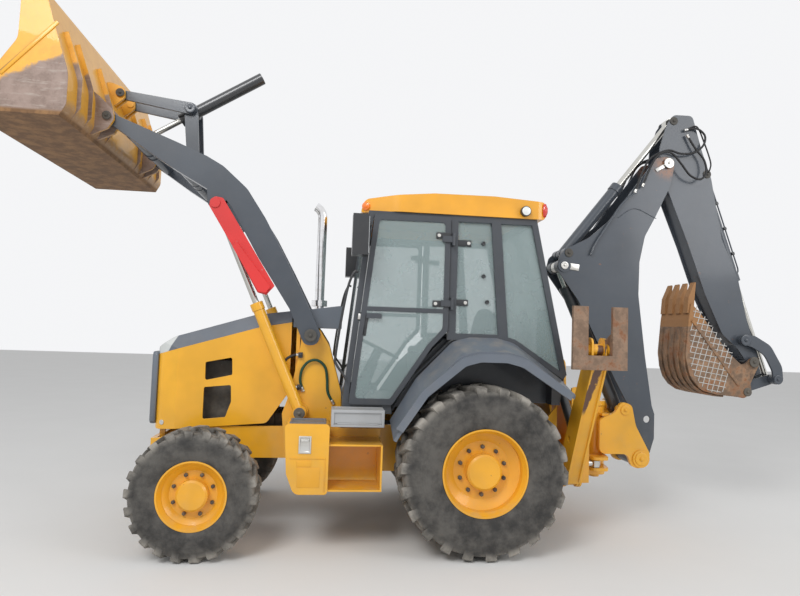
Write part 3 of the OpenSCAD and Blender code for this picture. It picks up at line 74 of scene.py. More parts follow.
# Maths on a shader value is written as an expression, and adds its Math nodes
class Value:
    def __init__(self, finish, socket):
        self.finish, self.socket = finish, socket

    def math(self, operation, other=0.0, clamp=False):
        return self.finish.add("ShaderNodeMath", {"operation": operation, "use_clamp": clamp}, {0: self, 1: other})

    def __add__(self, other):
        return self.math("ADD", other)

    def __sub__(self, other):
        return self.math("SUBTRACT", other)

    def __mul__(self, other):
        return self.math("MULTIPLY", other)

    def __rsub__(self, other):
        return self.math("MULTIPLY", -1.0).math("ADD", other)

    __radd__ = __add__

    def power(self, other):
        return self.math("POWER", other)

    def absolute(self):
        return self.math("ABSOLUTE")

    def sine(self):
        return self.math("SINE")

    def clamped(self):
        return self.math("ADD", 0.0, clamp=True)

    def band(self, low, high):
        return self.finish.add("ShaderNodeMapRange", {"interpolation_type": "SMOOTHSTEP"},
                               {0: self, 1: low, 2: high, 3: 0.0, 4: 1.0})


class Finish:
    def __init__(self, name):
        self.material = bpy.data.materials.new(name)
        self.material.use_nodes = True
        self.tree = self.material.node_tree
        self.shader = self.tree.nodes["Principled BSDF"]
        self.place = self.add("ShaderNodeTexCoord", {}, {}, "Object")

    # One node: its kind, its settings, and the values or links of its sockets
    def add(self, kind, settings, inputs, output=0):
        node = self.tree.nodes.new(kind)
        for name, value in settings.items():
            setattr(node, name, value)
        for name, value in inputs.items():
            self.feed(node.inputs[name], value)
        return Value(self, node.outputs[output])

    def feed(self, socket, value):
        if isinstance(value, Value):
            self.tree.links.new(value.socket, socket)
        else:
            socket.default_value = value

    def set(self, **values):
        names = {"color": "Base Color", "rough": "Roughness", "metal": "Metallic", "coat": "Coat Weight",
                 "coatRough": "Coat Roughness", "alpha": "Alpha", "glow": "Emission Color",
                 "glowPower": "Emission Strength", "level": "Specular IOR Level", "sheen": "Sheen Weight",
                 "normal": "Normal"}
        for name, value in values.items():
            self.feed(self.shader.inputs[names[name]], value)
        return self

    def stretched(self, scale, shift=(0, 0, 0)):
        return self.add("ShaderNodeMapping", {}, {"Vector": self.place, "Scale": scale, "Location": shift})

    def noise(self, scale, detail=4.0, rough=0.55, at=None):
        return self.add("ShaderNodeTexNoise", {}, {"Vector": at or self.place, "Scale": scale, "Detail": detail,
                                                   "Roughness": rough})

    def cells(self, scale):
        return self.add("ShaderNodeTexVoronoi", {}, {"Vector": self.place, "Scale": scale})

    def axis(self, which, source=None):
        return self.add("ShaderNodeSeparateXYZ", {}, {0: source or self.place}, which)

    def facing(self, which):
        normal = self.add("ShaderNodeNewGeometry", {}, {}, "Normal")
        return self.axis(which, normal)

    def mix(self, share, first, second):
        node = self.tree.nodes.new("ShaderNodeMix")
        node.data_type = "RGBA"
        for socket, value in zip((node.inputs[0], node.inputs[6], node.inputs[7]), (share, first, second)):
            self.feed(socket, value)
        return Value(self, node.outputs[2])

    def bump(self, height, strength=0.3, distance=0.002, normal=None):
        inputs = {"Height": height, "Strength": strength, "Distance": distance}
        if normal:
            inputs["Normal"] = normal
        return self.add("ShaderNodeBump", {}, inputs)

    # Edges that paint wears off first: where a rounded edge's normal leaves the face's own
    def edges(self, radius):
        soft = self.add("ShaderNodeBevel", {"samples": 4}, {"Radius": radius})
        face = self.add("ShaderNodeNewGeometry", {}, {}, "Normal")
        along = self.add("ShaderNodeVectorMath", {"operation": "DOT_PRODUCT"}, {0: soft, 1: face}, "Value")
        return soft, (1.0 - along).band(0.02, 0.25)


def shade(red, green, blue):
    return (red, green, blue, 1.0)


def toned(color, share):
    return tuple(part * share for part in color[:3]) + (1.0,)


dust = shade(0.42, 0.36, 0.27)
steel = shade(0.36, 0.35, 0.33)
rust = shade(0.23, 0.098, 0.045)


# Enamel or moulded skin: colour that varies a little, orange peel, dust on what faces up and low down, worn edges
def paint(name, color, rough=0.34, coat=0.5, wear=0.5, dusty=0.35, peel=0.08, chip=steel,
          grain=0.0, low=1.2):
    f = Finish(name)
    wide = f.noise(2.3, 3.0)
    fine = f.noise(46.0, 5.0)
    tone = f.mix(wide.band(0.35, 0.75), color, toned(color, 0.82))
    lying = f.facing(2).band(0.35, 0.95)
    nearGround = 1.0 - f.axis(2).band(0.15, low)
    patches = f.noise(9.0, 6.0, 0.65).band(0.35, 0.8)
    dirt = ((lying * 0.7 + nearGround * 0.55 + 0.08) * patches * dusty).clamped()
    soft, worn = f.edges(0.004)
    bare = (worn * f.noise(31.0, 4.0, 0.7).band(0.56, 0.7) * wear).clamped()
    spots = (f.noise(17.0, 2.0, 0.4).band(0.735, 0.76) * f.noise(90.0, 2.0).band(0.5, 0.6) * wear).clamped()
    base = f.mix(dirt, tone, dust)
    base = f.mix((bare + spots).clamped(), base, chip)
    f.set(color=base, rough=(fine * 0.08 + rough + dirt * 0.4 + bare * 0.2).clamped(),
          coat=((1.0 - dirt) * coat).clamped(), coatRough=0.12)
    height = f.noise(260.0, 2.0) * peel + fine * 0.2 * peel
    if grain:
        height = height + f.cells(900.0) * grain
    f.set(normal=f.bump(height, 0.25, 0.0012, soft))
    return f


# Lays a second colour over what a finish already has
def overlay(f, share, color):
    was = Value(f, f.shader.inputs["Base Color"].links[0].from_socket)
    f.set(color=f.mix(share.clamped(), was, color))
    return f


def rustySteel(name, brown, pale):
    f = Finish(name)
    middle, small = f.noise(14.0, 7.0, 0.68), f.noise(120.0, 5.0, 0.6)
    base = f.mix(middle.band(0.36, 0.66), brown, pale)
    base = f.mix(f.noise(7.0, 8.0, 0.75).band(0.52, 0.64), base, rust)
    streaks = f.noise(11.0, 5.0, 0.6, f.stretched((1.0, 1.0, 0.16))).band(0.5, 0.72)
    base = f.mix(streaks * 0.45, base, shade(0.13, 0.075, 0.05))
    soft, worn = f.edges(0.005)
    base = f.mix((worn * small.band(0.4, 0.6) * 0.6).clamped(), base, shade(0.46, 0.36, 0.28))
    f.set(color=base, rough=(middle * 0.3 + 0.5).clamped(), metal=(worn * 0.4).clamped(), level=0.35)
    f.set(normal=f.bump(middle * 0.5 + small * 0.35, 0.5, 0.003, soft))
    return f


def chromed(name, color, rough, stain):
    f = Finish(name)
    marks = f.noise(5.0, 4.0, 0.6, f.stretched((1.0, 1.0, 3.0)))
    f.set(color=f.mix(marks.band(0.45, 0.8) * stain, color, shade(0.42, 0.37, 0.3)), metal=1.0,
          rough=(marks * 0.14 + rough).clamped())
    f.set(normal=f.bump(f.noise(300.0, 2.0), 0.05, 0.0005))
    return f


# Tyre rubber: dusty tread, and fine rings on the side wall; tread and side are radii round the wheel's centre
def rubber(name, color, dustShare, center, tread, side):
    f = Finish(name)
    patches = f.noise(6.0, 6.0, 0.65)
    fine = f.noise(150.0, 4.0)
    base = f.mix(patches.band(0.35, 0.8), color, toned(color, 1.7))
    near = f.stretched((1, 1, 1), shift=tuple(-part for part in center))
    x, z = f.axis(0, near), f.axis(2, near)
    radius = (x * x + z * z).power(0.5)
    outer = radius.band(tread - 0.05, tread + 0.02)
    amount = (outer * 0.75 + 0.25) * (patches.band(0.3, 0.7) * dustShare) + outer * 0.25 * dustShare
    onWall = (1.0 - radius.band(side, side + 0.05)) * radius.band(side - 0.12, side - 0.08)
    rings = (radius * 330.0).sine() * onWall
    f.set(color=f.mix(amount.clamped(), base, shade(0.36, 0.335, 0.295)),
          rough=(patches * 0.2 + 0.62).clamped(), level=0.3)
    f.set(normal=f.bump(fine * 0.3 + rings * 0.25, 0.35, 0.002))
    return f


def glassy(name, tint, clear, rough=0.03):
    f = Finish(name)
    rim = f.add("ShaderNodeLayerWeight", {}, {"Blend": 0.35}, "Fresnel")
    smear = f.noise(4.0, 5.0, 0.6)
    f.set(color=tint, rough=(smear.band(0.55, 0.9) * 0.12 + rough).clamped(), level=0.9,
          alpha=((1.0 - clear) + rim * 0.55 + smear.band(0.5, 0.9) * 0.08).clamped())
    return f


def grained(name, color, scale=420.0, rough=0.6):
    f = Finish(name)
    wide, pores = f.noise(5.0, 4.0), f.cells(scale)
    f.set(color=f.mix(wide.band(0.3, 0.8), color, toned(color, 1.45)),
          rough=(wide * 0.15 + rough).clamped(), level=0.35)
    f.set(normal=f.bump(pores, 0.3, 0.0008))
    return f


def woven(name, color):
    f = Finish(name)
    x, y, z = (f.axis(i) for i in range(3))
    threads = ((x + y) * 2600.0).sine() * ((z + y) * 2600.0).sine()
    f.set(color=f.mix(threads.band(-0.6, 0.8), color, toned(color, 1.9)),
          rough=(f.noise(12.0) * 0.1 + 0.85).clamped(), sheen=0.25, level=0.15)
    f.set(normal=f.bump(threads, 0.4, 0.0006))
    return f


def lens(name, color, glow):
    f = Finish(name)
    flutes = (f.axis(2) * 620.0).sine() * 0.5 + (f.axis(0) * 620.0).sine() * 0.5
    f.set(color=f.mix(flutes.band(-0.6, 0.9), color, toned(color, 0.75)),
          rough=(flutes * 0.04 + 0.14).clamped(), coat=0.9, coatRough=0.04, glow=color, glowPower=glow)
    f.set(normal=f.bump(flutes, 0.3, 0.0015))
    return f


amber = shade(0.9, 0.45, 0.02)
slate = shade(0.053, 0.065, 0.083)
mouldedGrey = shade(0.135, 0.157, 0.19)
slateCoat = {"rough": 0.36, "coat": 0.4, "wear": 0.6, "dusty": 0.28, "chip": rust}
moulding = {"rough": 0.46, "coat": 0.2, "wear": 0.0, "dusty": 0.5, "grain": 0.25, "low": 1.6}
finishes = {
    "yellow": paint("yellowEnamel", amber, wear=0.55, dusty=0.4, chip=rust),
    "legYellow": paint("legYellow", amber, wear=0.7, dusty=0.4, chip=rust),
    "hoodYellow": paint("hoodYellow", shade(0.94, 0.47, 0.02), rough=0.3, wear=0.0, dusty=0.15, peel=0.04),
    "roofYellow": paint("roofYellow", shade(0.92, 0.42, 0.02), rough=0.3, coat=0.7, wear=0.0, dusty=0.3,
                        peel=0.04),
    "rimYellow": paint("rimYellow", shade(0.9, 0.43, 0.02), rough=0.36, coat=0.4, dusty=0.3, chip=rust, low=0.8),
    "slate": paint("slateEnamel", slate, **slateCoat),
    "boomSlate": paint("boomSlate", slate, **slateCoat),
    "cabSlate": paint("cabSlate", shade(0.05, 0.057, 0.068), rough=0.4, coat=0.3, wear=0.1, dusty=0.25, low=1.6),
    "slateMoulding": paint("slateMoulding", mouldedGrey, **moulding),
    "hoodTop": paint("hoodTop", mouldedGrey, **moulding),
    "black": paint("blackCoat", shade(0.022, 0.024, 0.028), rough=0.4, coat=0.3, wear=0.15, dusty=0.25, low=1.6),
    "barrelBlack": paint("barrelBlack", shade(0.035, 0.038, 0.043), rough=0.3, wear=0.35, dusty=0.3),
    "red": paint("redEnamel", shade(0.74, 0.02, 0.018), rough=0.32, wear=0.4, dusty=0.1),
    "castings": paint("driveCastings", shade(0.075, 0.07, 0.062), rough=0.6, coat=0.0, wear=0.2, dusty=0.8,
                      peel=0.4, low=2.0),
    "sill": paint("sillGrey", shade(0.4, 0.41, 0.42), rough=0.5, coat=0.1, wear=0.4, dusty=0.4),
    "silver": chromed("fastenerZinc", shade(0.66, 0.65, 0.62), 0.28, 0.4),
    "chrome": chromed("rodChrome", shade(0.62, 0.61, 0.57), 0.16, 0.3),
    "pipeChrome": chromed("pipeChrome", shade(0.83, 0.83, 0.84), 0.1, 0.35),
    "weld": chromed("weldBead", shade(0.5, 0.49, 0.47), 0.5, 0.35),
    "mirror": chromed("mirrorGlass", shade(0.8, 0.82, 0.83), 0.02, 0.05),
    "bucket": rustySteel("bucketSteel", shade(0.16, 0.105, 0.07), shade(0.36, 0.22, 0.13)),
    "pad": rustySteel("padSteel", shade(0.19, 0.125, 0.085), shade(0.33, 0.22, 0.15)),
    "glass": glassy("windowGlass", shade(0.46, 0.58, 0.58), 0.62),
    "plastic": grained("cabPlastic", shade(0.03, 0.031, 0.034)),
    "hose": grained("hoseRubber", shade(0.02, 0.02, 0.021), 700.0, 0.45),
    "greenHose": grained("greenHose", shade(0.012, 0.055, 0.035), 700.0, 0.45),
    "cloth": woven("seatCloth", shade(0.04, 0.041, 0.046)),
    "redLens": lens("redLens", shade(0.62, 0.03, 0.02), 0.15),
    "orangeLens": lens("orangeLens", shade(0.9, 0.2, 0.015), 0.25),
    "clearLens": lens("clearLens", shade(0.82, 0.84, 0.82), 0.1),
}


# Lamps on the hood's front corners, a rusty stripe down each stabilizer leg, rust at the boom's tip, and the
# browner tip of the backhoe bucket
def addMarks():
    f = finishes["hoodTop"]
    ahead = 1.0 - (f.axis(0) - f.axis(2) * 0.51 + 2.96).band(0.0, 0.005)
    overlay(f, ahead * f.axis(1).absolute().band(0.17, 0.175), shade(0.6, 0.62, 0.61))
    f = finishes["legYellow"]
    grime = f.noise(13.0, 6.0, 0.65)
    across = (f.axis(0) - f.axis(2) * 0.17 - 0.915 + (grime - 0.5) * 0.06).absolute()
    along = f.axis(2).band(1.06, 1.13) * (1.0 - across.band(0.026, 0.036)) * f.facing(1).absolute().band(0.4, 0.7)
    overlay(f, along * grime.band(0.25, 0.42), shade(0.115, 0.05, 0.028))
    f = finishes["boomSlate"]
    x, z = f.axis(0) - 2.257, f.axis(2) - 3.394
    grime = f.noise(19.0, 6.0, 0.7)
    near = 1.0 - ((x * x + z * z).power(0.5) + (grime - 0.5) * 0.12).band(0.08, 0.2)
    overlay(f, near * grime.band(0.35, 0.55), rust)
    f = finishes["bucket"]
    edge = (f.axis(2) - f.axis(0) * 0.2 - 1.345 + (f.noise(9.0, 3.0) - 0.5) * 0.02).band(0.0, 0.008)
    overlay(f, edge * 0.85, shade(0.36, 0.18, 0.07))


addMarks()


# Loader bucket: paint above, and steel worn bare along its floor, the lower ends and inside
def bucketFinish():
    f = Finish("bucketPaint")
    x, z = f.axis(0), f.axis(2)
    grime, fine = f.noise(8.0, 7.0, 0.7), f.noise(70.0, 5.0, 0.65)
    scratches = f.noise(22.0, 4.0, 0.6, f.stretched((0.35, 1.0, 2.2)))
    level = z - x * 0.52 + (grime - 0.5) * 0.16
    endFace = f.facing(1).absolute().band(0.4, 0.7)
    lowBack = 1.0 - (z + (grime - 0.5) * 0.22).band(3.15, 3.25)
    worn = ((1.0 - level.band(5.0, 5.035)) * endFace + lowBack * 0.75).clamped()
    under = 1.0 - z.band(3.125, 3.15)
    within = (1.0 - z.band(3.86, 3.93)) * (f.facing(0) * -1.0).band(0.1, 0.3)
    yellow = f.mix(grime.band(0.4, 0.75), shade(0.84, 0.42, 0.03), shade(0.74, 0.35, 0.035))
    bare = f.mix(grime.band(0.35, 0.7), shade(0.33, 0.24, 0.2), shade(0.21, 0.145, 0.115))
    bare = f.mix(scratches.band(0.5, 0.72) * 0.6, bare, shade(0.44, 0.37, 0.32))
    mud = f.mix(grime.band(0.38, 0.66), shade(0.17, 0.09, 0.042), shade(0.31, 0.17, 0.075))
    base = f.mix(worn, yellow, bare)
    base = f.mix((fine.band(0.63, 0.68) * grime.band(0.45, 0.6) * 0.8).clamped(), base, rust)
    base = f.mix((under + within).clamped(), base, mud)
    soft, edge = f.edges(0.006)
    base = f.mix((edge * fine.band(0.42, 0.6) * 0.7).clamped(), base, shade(0.35, 0.2, 0.12))
    f.set(color=base, rough=(worn * 0.1 + under * 0.35 + grime * 0.1 + 0.36).clamped(),
          coat=((1.0 - worn) * 0.3).clamped())
    f.set(normal=f.bump(grime * 0.5 + fine * 0.3, 0.4, 0.003, soft))
    return f


finishes["bucketPaint"] = bucketFinish()
print("finishes:", len(finishes))


def coat(piece, finish):
    piece.data.materials.clear()
    piece.data.materials.append(finish.material)


# What each node wears; a name without a node of its own stands for a left and a right one
wornBy = {
    "yellow": ("main_frame", "backhoe_frame", "lift_barrels", "swing_post", "knuckle"),
    "legYellow": ("stabilizer_leg",), "hoodYellow": ("hood_panels",), "roofYellow": ("cab_roof",),
    "rimYellow": ("front_rim", "rear_rim"),
    "slate": ("loader_boom", "tilt_lever", "tilt_link", "dipper", "guide_link", "bucket_link", "dipper_barrel",
              "bucket_barrel"),
    "boomSlate": ("backhoe_boom",), "cabSlate": ("cab_frame", "door"), "slateMoulding": ("fenders",),
    "hoodTop": ("hood_trim",), "black": ("lamps_and_mirrors",), "red": ("boom_lock",),
    "barrelBlack": ("tilt_barrel", "boom_barrel", "stabilizer_barrel"), "castings": ("powertrain",),
    "chrome": ("tilt_rod", "lift_rods", "boom_rod", "dipper_rod", "bucket_rod", "swing_rod", "stabilizer_rod"),
    "pipeChrome": ("exhaust_stack",), "bucket": ("backhoe_bucket",), "bucketPaint": ("loader_bucket",),
    "pad": ("stabilizer_pad",), "glass": ("cab_glass", "door_left_glass", "door_right_glass"),
    "plastic": ("operator_station",), "cloth": ("operator_seat",), "hose": ("hoses", "front_tyre", "rear_tyre"),
}
coated = 0
for finish, names in wornBy.items():
    for name in names:
        for node in (name,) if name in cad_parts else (name + "_left", name + "_right"):
            coat(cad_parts[node], finishes[finish])
            coated += 1
print("nodes coated:", coated)


# ---- floor, backdrop and lights
lighting = {"sky": 0.62, "backdrop": 0.93, "floor": shade(0.8, 0.795, 0.78), "size": 60.0, "softbox": 4.0}
softboxes = {"keyLight": {"from": (-4.5, -8.0, 8.5), "aim": (0, 0, 1.2), "power": 560},
             "fillLight": {"from": (7.0, -6.0, 5.0), "aim": (0.5, 0, 1.5), "power": 180}}


def addStage(lighting):
    bpy.ops.mesh.primitive_plane_add(size=lighting["size"], location=(0, 0, 0))
    floor = bpy.context.object
    floor.name = "floor"
    f = Finish("paleFloor")
    f.set(color=f.mix(f.noise(1.2, 4.0), lighting["floor"], shade(0.76, 0.755, 0.74)), rough=0.9, level=0.1)
    coat(floor, f)
    world = bpy.data.worlds.new("paleWorld")
    bpy.context.scene.world = world
    world.use_nodes = True
    nodes, link = world.node_tree.nodes, world.node_tree.links.new
    nodes.clear()
    path = nodes.new("ShaderNodeLightPath")
    seen, either = nodes.new("ShaderNodeMath"), nodes.new("ShaderNodeMath")
    seen.operation = either.operation = "MAXIMUM"
    link(path.outputs["Is Camera Ray"], seen.inputs[0])
    link(path.outputs["Is Transmission Ray"], seen.inputs[1])
    link(seen.outputs[0], either.inputs[0])
    link(path.outputs["Is Glossy Ray"], either.inputs[1])
    light, pale = nodes.new("ShaderNodeBackground"), nodes.new("ShaderNodeBackground")
    light.inputs[0].default_value, light.inputs[1].default_value = shade(0.97, 0.98, 1.0), lighting["sky"]
    pale.inputs[0].default_value, pale.inputs[1].default_value = shade(0.98, 0.985, 1.0), lighting["backdrop"]
    blend, out = nodes.new("ShaderNodeMixShader"), nodes.new("ShaderNodeOutputWorld")
    link(either.outputs[0], blend.inputs[0])
    link(light.outputs[0], blend.inputs[1])
    link(pale.outputs[0], blend.inputs[2])
    link(blend.outputs[0], out.inputs[0])


def addSoftbox(name, box):
    bpy.ops.object.light_add(type="AREA", location=box["from"])
    lamp = bpy.context.object
    lamp.name = name
    lamp.data.shape = "SQUARE"
    lamp.data.size = lighting["softbox"]
    lamp.data.energy = box["power"]
    lamp.rotation_euler = (Vector(box["aim"]) - Vector(box["from"])).to_track_quat("-Z", "Y").to_euler()


addStage(lighting)
for name, box in softboxes.items():
    addSoftbox(name, box)
bpy.context.scene.view_settings.view_transform = "Standard"
print("stage and lights")


# ---- tools for making pieces
sides = (-1, 1)  # left, right
sideNames = (("left", -1), ("right", 1))
edgeAngle = 0.6  # edges sharper than this are bevelled, and shaded sharp


def at(x, y, z):
    return Vector((x + rearAxle, y, z))


def newest():
    return bpy.context.object


def clearSelection():
    if bpy.context.object and bpy.context.object.mode != "OBJECT":
        bpy.ops.object.mode_set(mode="OBJECT")
    bpy.ops.object.select_all(action="DESELECT")


def openMesh(piece):
    clearSelection()
    bpy.context.view_layer.objects.active = piece
    piece.select_set(True)
    bpy.ops.object.mode_set(mode="EDIT")
    bpy.ops.mesh.select_mode(type="FACE")
    bpy.ops.mesh.select_all(action="DESELECT")


def pick(piece, faces=None, verts=None):
    mesh = bmesh.from_edit_mesh(piece.data)
    if faces:
        for face in mesh.faces:
            face.select_set(faces(face))
    if verts:
        for vert in mesh.verts:
            vert.select_set(verts(vert))
    mesh.select_flush_mode()
    bmesh.update_edit_mesh(piece.data)


def closeMesh():
    bpy.ops.object.mode_set(mode="OBJECT")


def closeSolid():
    bpy.ops.mesh.select_all(action="SELECT")
    bpy.ops.mesh.normals_make_consistent(inside=False)
    closeMesh()


# Insets the faces that look along an axis, in steps of thickness and depth
def insetFaces(piece, axis, sign, steps):
    openMesh(piece)
    pick(piece, faces=lambda face: face.normal[axis] * sign > 0.9)
    for thickness, depth in steps:
        bpy.ops.mesh.inset(thickness=thickness, depth=depth)
    closeMesh()


def settle(piece, name, angle=edgeAngle):
    clearSelection()
    bpy.context.view_layer.objects.active = piece
    piece.select_set(True)
    for modifier in list(piece.modifiers):
        bpy.ops.object.modifier_apply(modifier=modifier.name)
    bpy.ops.object.transform_apply(location=True, rotation=True, scale=True)
    bpy.ops.object.shade_smooth_by_angle(angle=angle)
    piece.name = name
    piece.data.name = name
    return piece


def addBevel(piece, width, segments=2):
    modifier = piece.modifiers.new("softEdges", "BEVEL")
    modifier.width, modifier.segments = width, segments
    modifier.limit_method, modifier.angle_limit = "ANGLE", edgeAngle


def place(piece, name, body, finish):
    settle(piece, name)
    coat(piece, finishes[finish])
    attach(piece, body)
    return piece


def copyOf(piece, matrix):
    copied = piece.copy()
    copied.data = piece.data.copy()
    copied.data.transform(matrix)
    if matrix.determinant() < 0:
        copied.data.flip_normals()
    bpy.context.scene.collection.objects.link(copied)
    return copied


# Copies a model to each place, and removes it
def copies(model, moves):
    made = [copyOf(model, move) for move in moves]
    bpy.data.objects.remove(model)
    return made


def joined(pieces):
    if len(pieces) == 1:
        return pieces[0]
    clearSelection()
    for piece in pieces:
        piece.select_set(True)
    bpy.context.view_layer.objects.active = pieces[0]
    bpy.ops.object.join()
    return bpy.context.object




# One piece from several models, each with the places that it is copied to
def addSmall(name, body, finish, parts):
    placed = []
    for model, moves in parts:
        placed += copies(model, moves)
    return place(joined(placed), name, body, finish)


# Stands what is made along +Z on a point, turned to face a direction
def standing(point, facing):
    return Matrix.Translation(point) @ Vector(facing).to_track_quat("Z", "Y").to_matrix().to_4x4()


# The same place on the left and on the right, leaning about Y
def bothSides(x, y, z, lean=0.0):
    return [Matrix.Translation(at(x, sign * y, z)) @ Matrix.Rotation(lean, 4, "Y") for sign in sides]


# Where a line across the machine at x, z meets a node from outside; sign is the side
def faceAt(node, x, z, sign):
    hit, spot, normal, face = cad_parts[node].ray_cast(at(x, sign * 3.0, z), Vector((0, -sign, 0)))
    if not hit:
        raise ValueError(node + " has no face at " + str((x, z)))
    return spot, normal


def onFace(node, x, z, sign, sink=0.001):
    spot, normal = faceAt(node, x, z, sign)
    return standing(spot - normal * sink, normal)


def makeBox(name, spot, size, insets, bevel):
    bpy.ops.mesh.primitive_cube_add(size=1.0, location=spot, scale=size)
    box = newest()
    bpy.ops.object.transform_apply(location=False, rotation=False, scale=True)
    for axis, sign, steps in insets:
        insetFaces(box, axis, sign, steps)
    addBevel(box, bevel)
    return settle(box, name)


def makeBar(size, bevel):
    return makeBox("bar", (0, 0, 0), size, (), bevel)


# Round or six-sided, standing on z = 0, its top inset in steps
def makeRound(name, corners, radius, height, steps, bevel):
    bpy.ops.mesh.primitive_cylinder_add(vertices=corners, radius=radius, depth=height, location=(0, 0, height / 2))
    piece = newest()
    insetFaces(piece, 2, 1, steps)
    addBevel(piece, bevel)
    return settle(piece, name)


def makeNut(radius, height):
    return makeRound("nut", 6, radius, height, ((radius * 0.3, 0.0), (radius * 0.06, height * 0.5)), radius * 0.1)


def makeWasher(radius, height):
    steps = ((radius * 0.22, height * 0.12), (radius * 0.3, -height * 0.2))
    return makeRound("cap", 32, radius, height, steps, height * 0.16)


def makeLens(radius, height):
    steps = [(radius * 0.22, height * rise) for rise in (0.1, 0.25, 0.25)]
    return makeRound("lens", 40, radius, height, steps, height * 0.12)


# ---- tyres: a rounded carcass, and slanted lugs that run over the shoulders
tyres = {
    "front": {"radius": 0.470, "width": 0.312, "bead": 0.25, "lugs": 22, "height": 0.03,
              "center": (-2.134, 0.888, 0.470)},
    "rear": {"radius": 0.652, "width": 0.490, "bead": 0.33, "lugs": 22, "height": 0.036,
             "center": (0.0, 0.845, 0.652)},
}


def makeCarcass(t):
    body, bead = t["radius"] - t["height"], t["bead"]
    wall = body - bead
    steps = [(body, 0.36), (body - 0.006, 0.41), (body - 0.02, 0.452), (body - 0.045, 0.478),
             (body - 0.3 * wall, 0.496), (body - 0.5 * wall, 0.5), (body - 0.7 * wall, 0.484),
             (bead + 0.016, 0.44), (bead + 0.004, 0.425), (bead - 0.012, 0.39), (bead - 0.02, 0.33)]
    bpy.ops.mesh.primitive_cylinder_add(vertices=96, radius=body, depth=2 * steps[0][1] * t["width"])
    tyre = newest()
    openMesh(tyre)
    pick(tyre, faces=lambda face: len(face.verts) > 4)
    for (r0, w0), (r1, w1) in zip(steps, steps[1:]):
        bpy.ops.mesh.inset(thickness=r0 - r1, depth=(w1 - w0) * t["width"])
    bpy.ops.mesh.delete(type="FACE")
    pick(tyre, verts=lambda vert: abs(math.hypot(vert.co.x, vert.co.y) - steps[-1][0]) < 0.003)
    bpy.ops.mesh.select_mode(type="EDGE")
    bpy.ops.mesh.bridge_edge_loops()
    closeSolid()
    return tyre


# A lug is drawn flat, with its foot in the carcass, then laid round the wheel
def makeLug(t, lead):
    pitch = 2 * math.pi * t["radius"] / t["lugs"]
    half = t["width"] / 2
    bpy.ops.mesh.primitive_grid_add(x_subdivisions=2, y_subdivisions=6, size=1.0)
    lug = newest()
    for vert in lug.data.vertices:
        share = vert.co.y + 0.5
        slide = pitch * (0.62 * share - 0.12 * share * share + lead)
        wide = pitch * (0.36 + 0.1 * share) if vert.co.x > 0 else 0.0
        vert.co = Vector((slide + wide, half * (share - 0.03), 0.0))
    openMesh(lug)
    bpy.ops.mesh.select_all(action="SELECT")
    bpy.ops.mesh.extrude_region_move(TRANSFORM_OT_translate={"value": (0, 0, 1.0)})
    closeSolid()
    root = t["radius"] - t["height"]
    for vert in lug.data.vertices:
        share = abs(vert.co.y) / half
        top = vert.co.z > 0.5
        drop = 0.004 * share + (0.012 * (share - 0.8) / 0.2 if share > 0.8 else 0.0)
        radius = t["radius"] - drop if top else root - 0.012 - max(0.0, share - 0.7) * 0.16
        shrink = 0.92 if top and share > 0.9 else 1.0
        angle = vert.co.x / t["radius"]
        vert.co = Vector((radius * math.sin(angle), radius * math.cos(angle), vert.co.y * shrink))
    return lug


def makeTyre(t):
    carcass = makeCarcass(t)
    turns = [Matrix.Rotation(i * 2 * math.pi / t["lugs"], 4, "Z") for i in range(t["lugs"])]
    lugs = []
    for side, lead in ((1, 0.0), (-1, 0.5)):
        lug = copies(makeLug(t, lead), [Matrix.Scale(side, 4, (0, 0, 1))])[0]
        addBevel(lug, 0.006)
        lugs += copies(settle(lug, "lug"), turns)
    settle(carcass, "carcass")
    return joined([carcass] + lugs)


for axle, t in tyres.items():
    model = makeTyre(t)
    model.data.transform(Matrix.Rotation(math.pi / 2, 4, "X"))
    x, y, z = t["center"]
    for side, sign in sideNames:
        center = at(x, sign * y, z)
        finish = "tyreRubber" + axle + side
        finishes[finish] = rubber(finish, shade(0.034, 0.033, 0.032), 0.85, tuple(center),
                                  t["radius"] - t["height"], 0.5 * (t["radius"] + t["bead"]) + 0.02)
        tyre = copyOf(model, Matrix.Translation(center) @ Matrix.Scale(-sign, 4, (0, 1, 0)))
        place(tyre, axle + "Tyre" + side.capitalize(), axle + "_" + side + "_wheel", finish)
        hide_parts(axle + "_tyre_" + side)
    bpy.data.objects.remove(model)
print("tyres")


# ---- wheel nuts
wheelNuts = {"front": {"count": 8, "ring": 0.148, "out": 0.051, "size": 0.015},
             "rear": {"count": 10, "ring": 0.18, "out": 0.0777, "size": 0.017}}
for axle, n in wheelNuts.items():
    x, y, z = tyres[axle]["center"]
    angles = [2 * math.pi * (i + 0.5) / n["count"] for i in range(n["count"])]
    for side, sign in sideNames:
        spots = [at(x + n["ring"] * math.cos(a), sign * (y + n["out"]), z + n["ring"] * math.sin(a))
                 for a in angles]
        addSmall(axle + "Nuts" + side.capitalize(), axle + "_" + side + "_wheel", "castings", [
            (makeNut(n["size"], n["size"] * 1.3), [standing(spot, (0, sign, 0)) for spot in spots])])
print("wheel nuts")


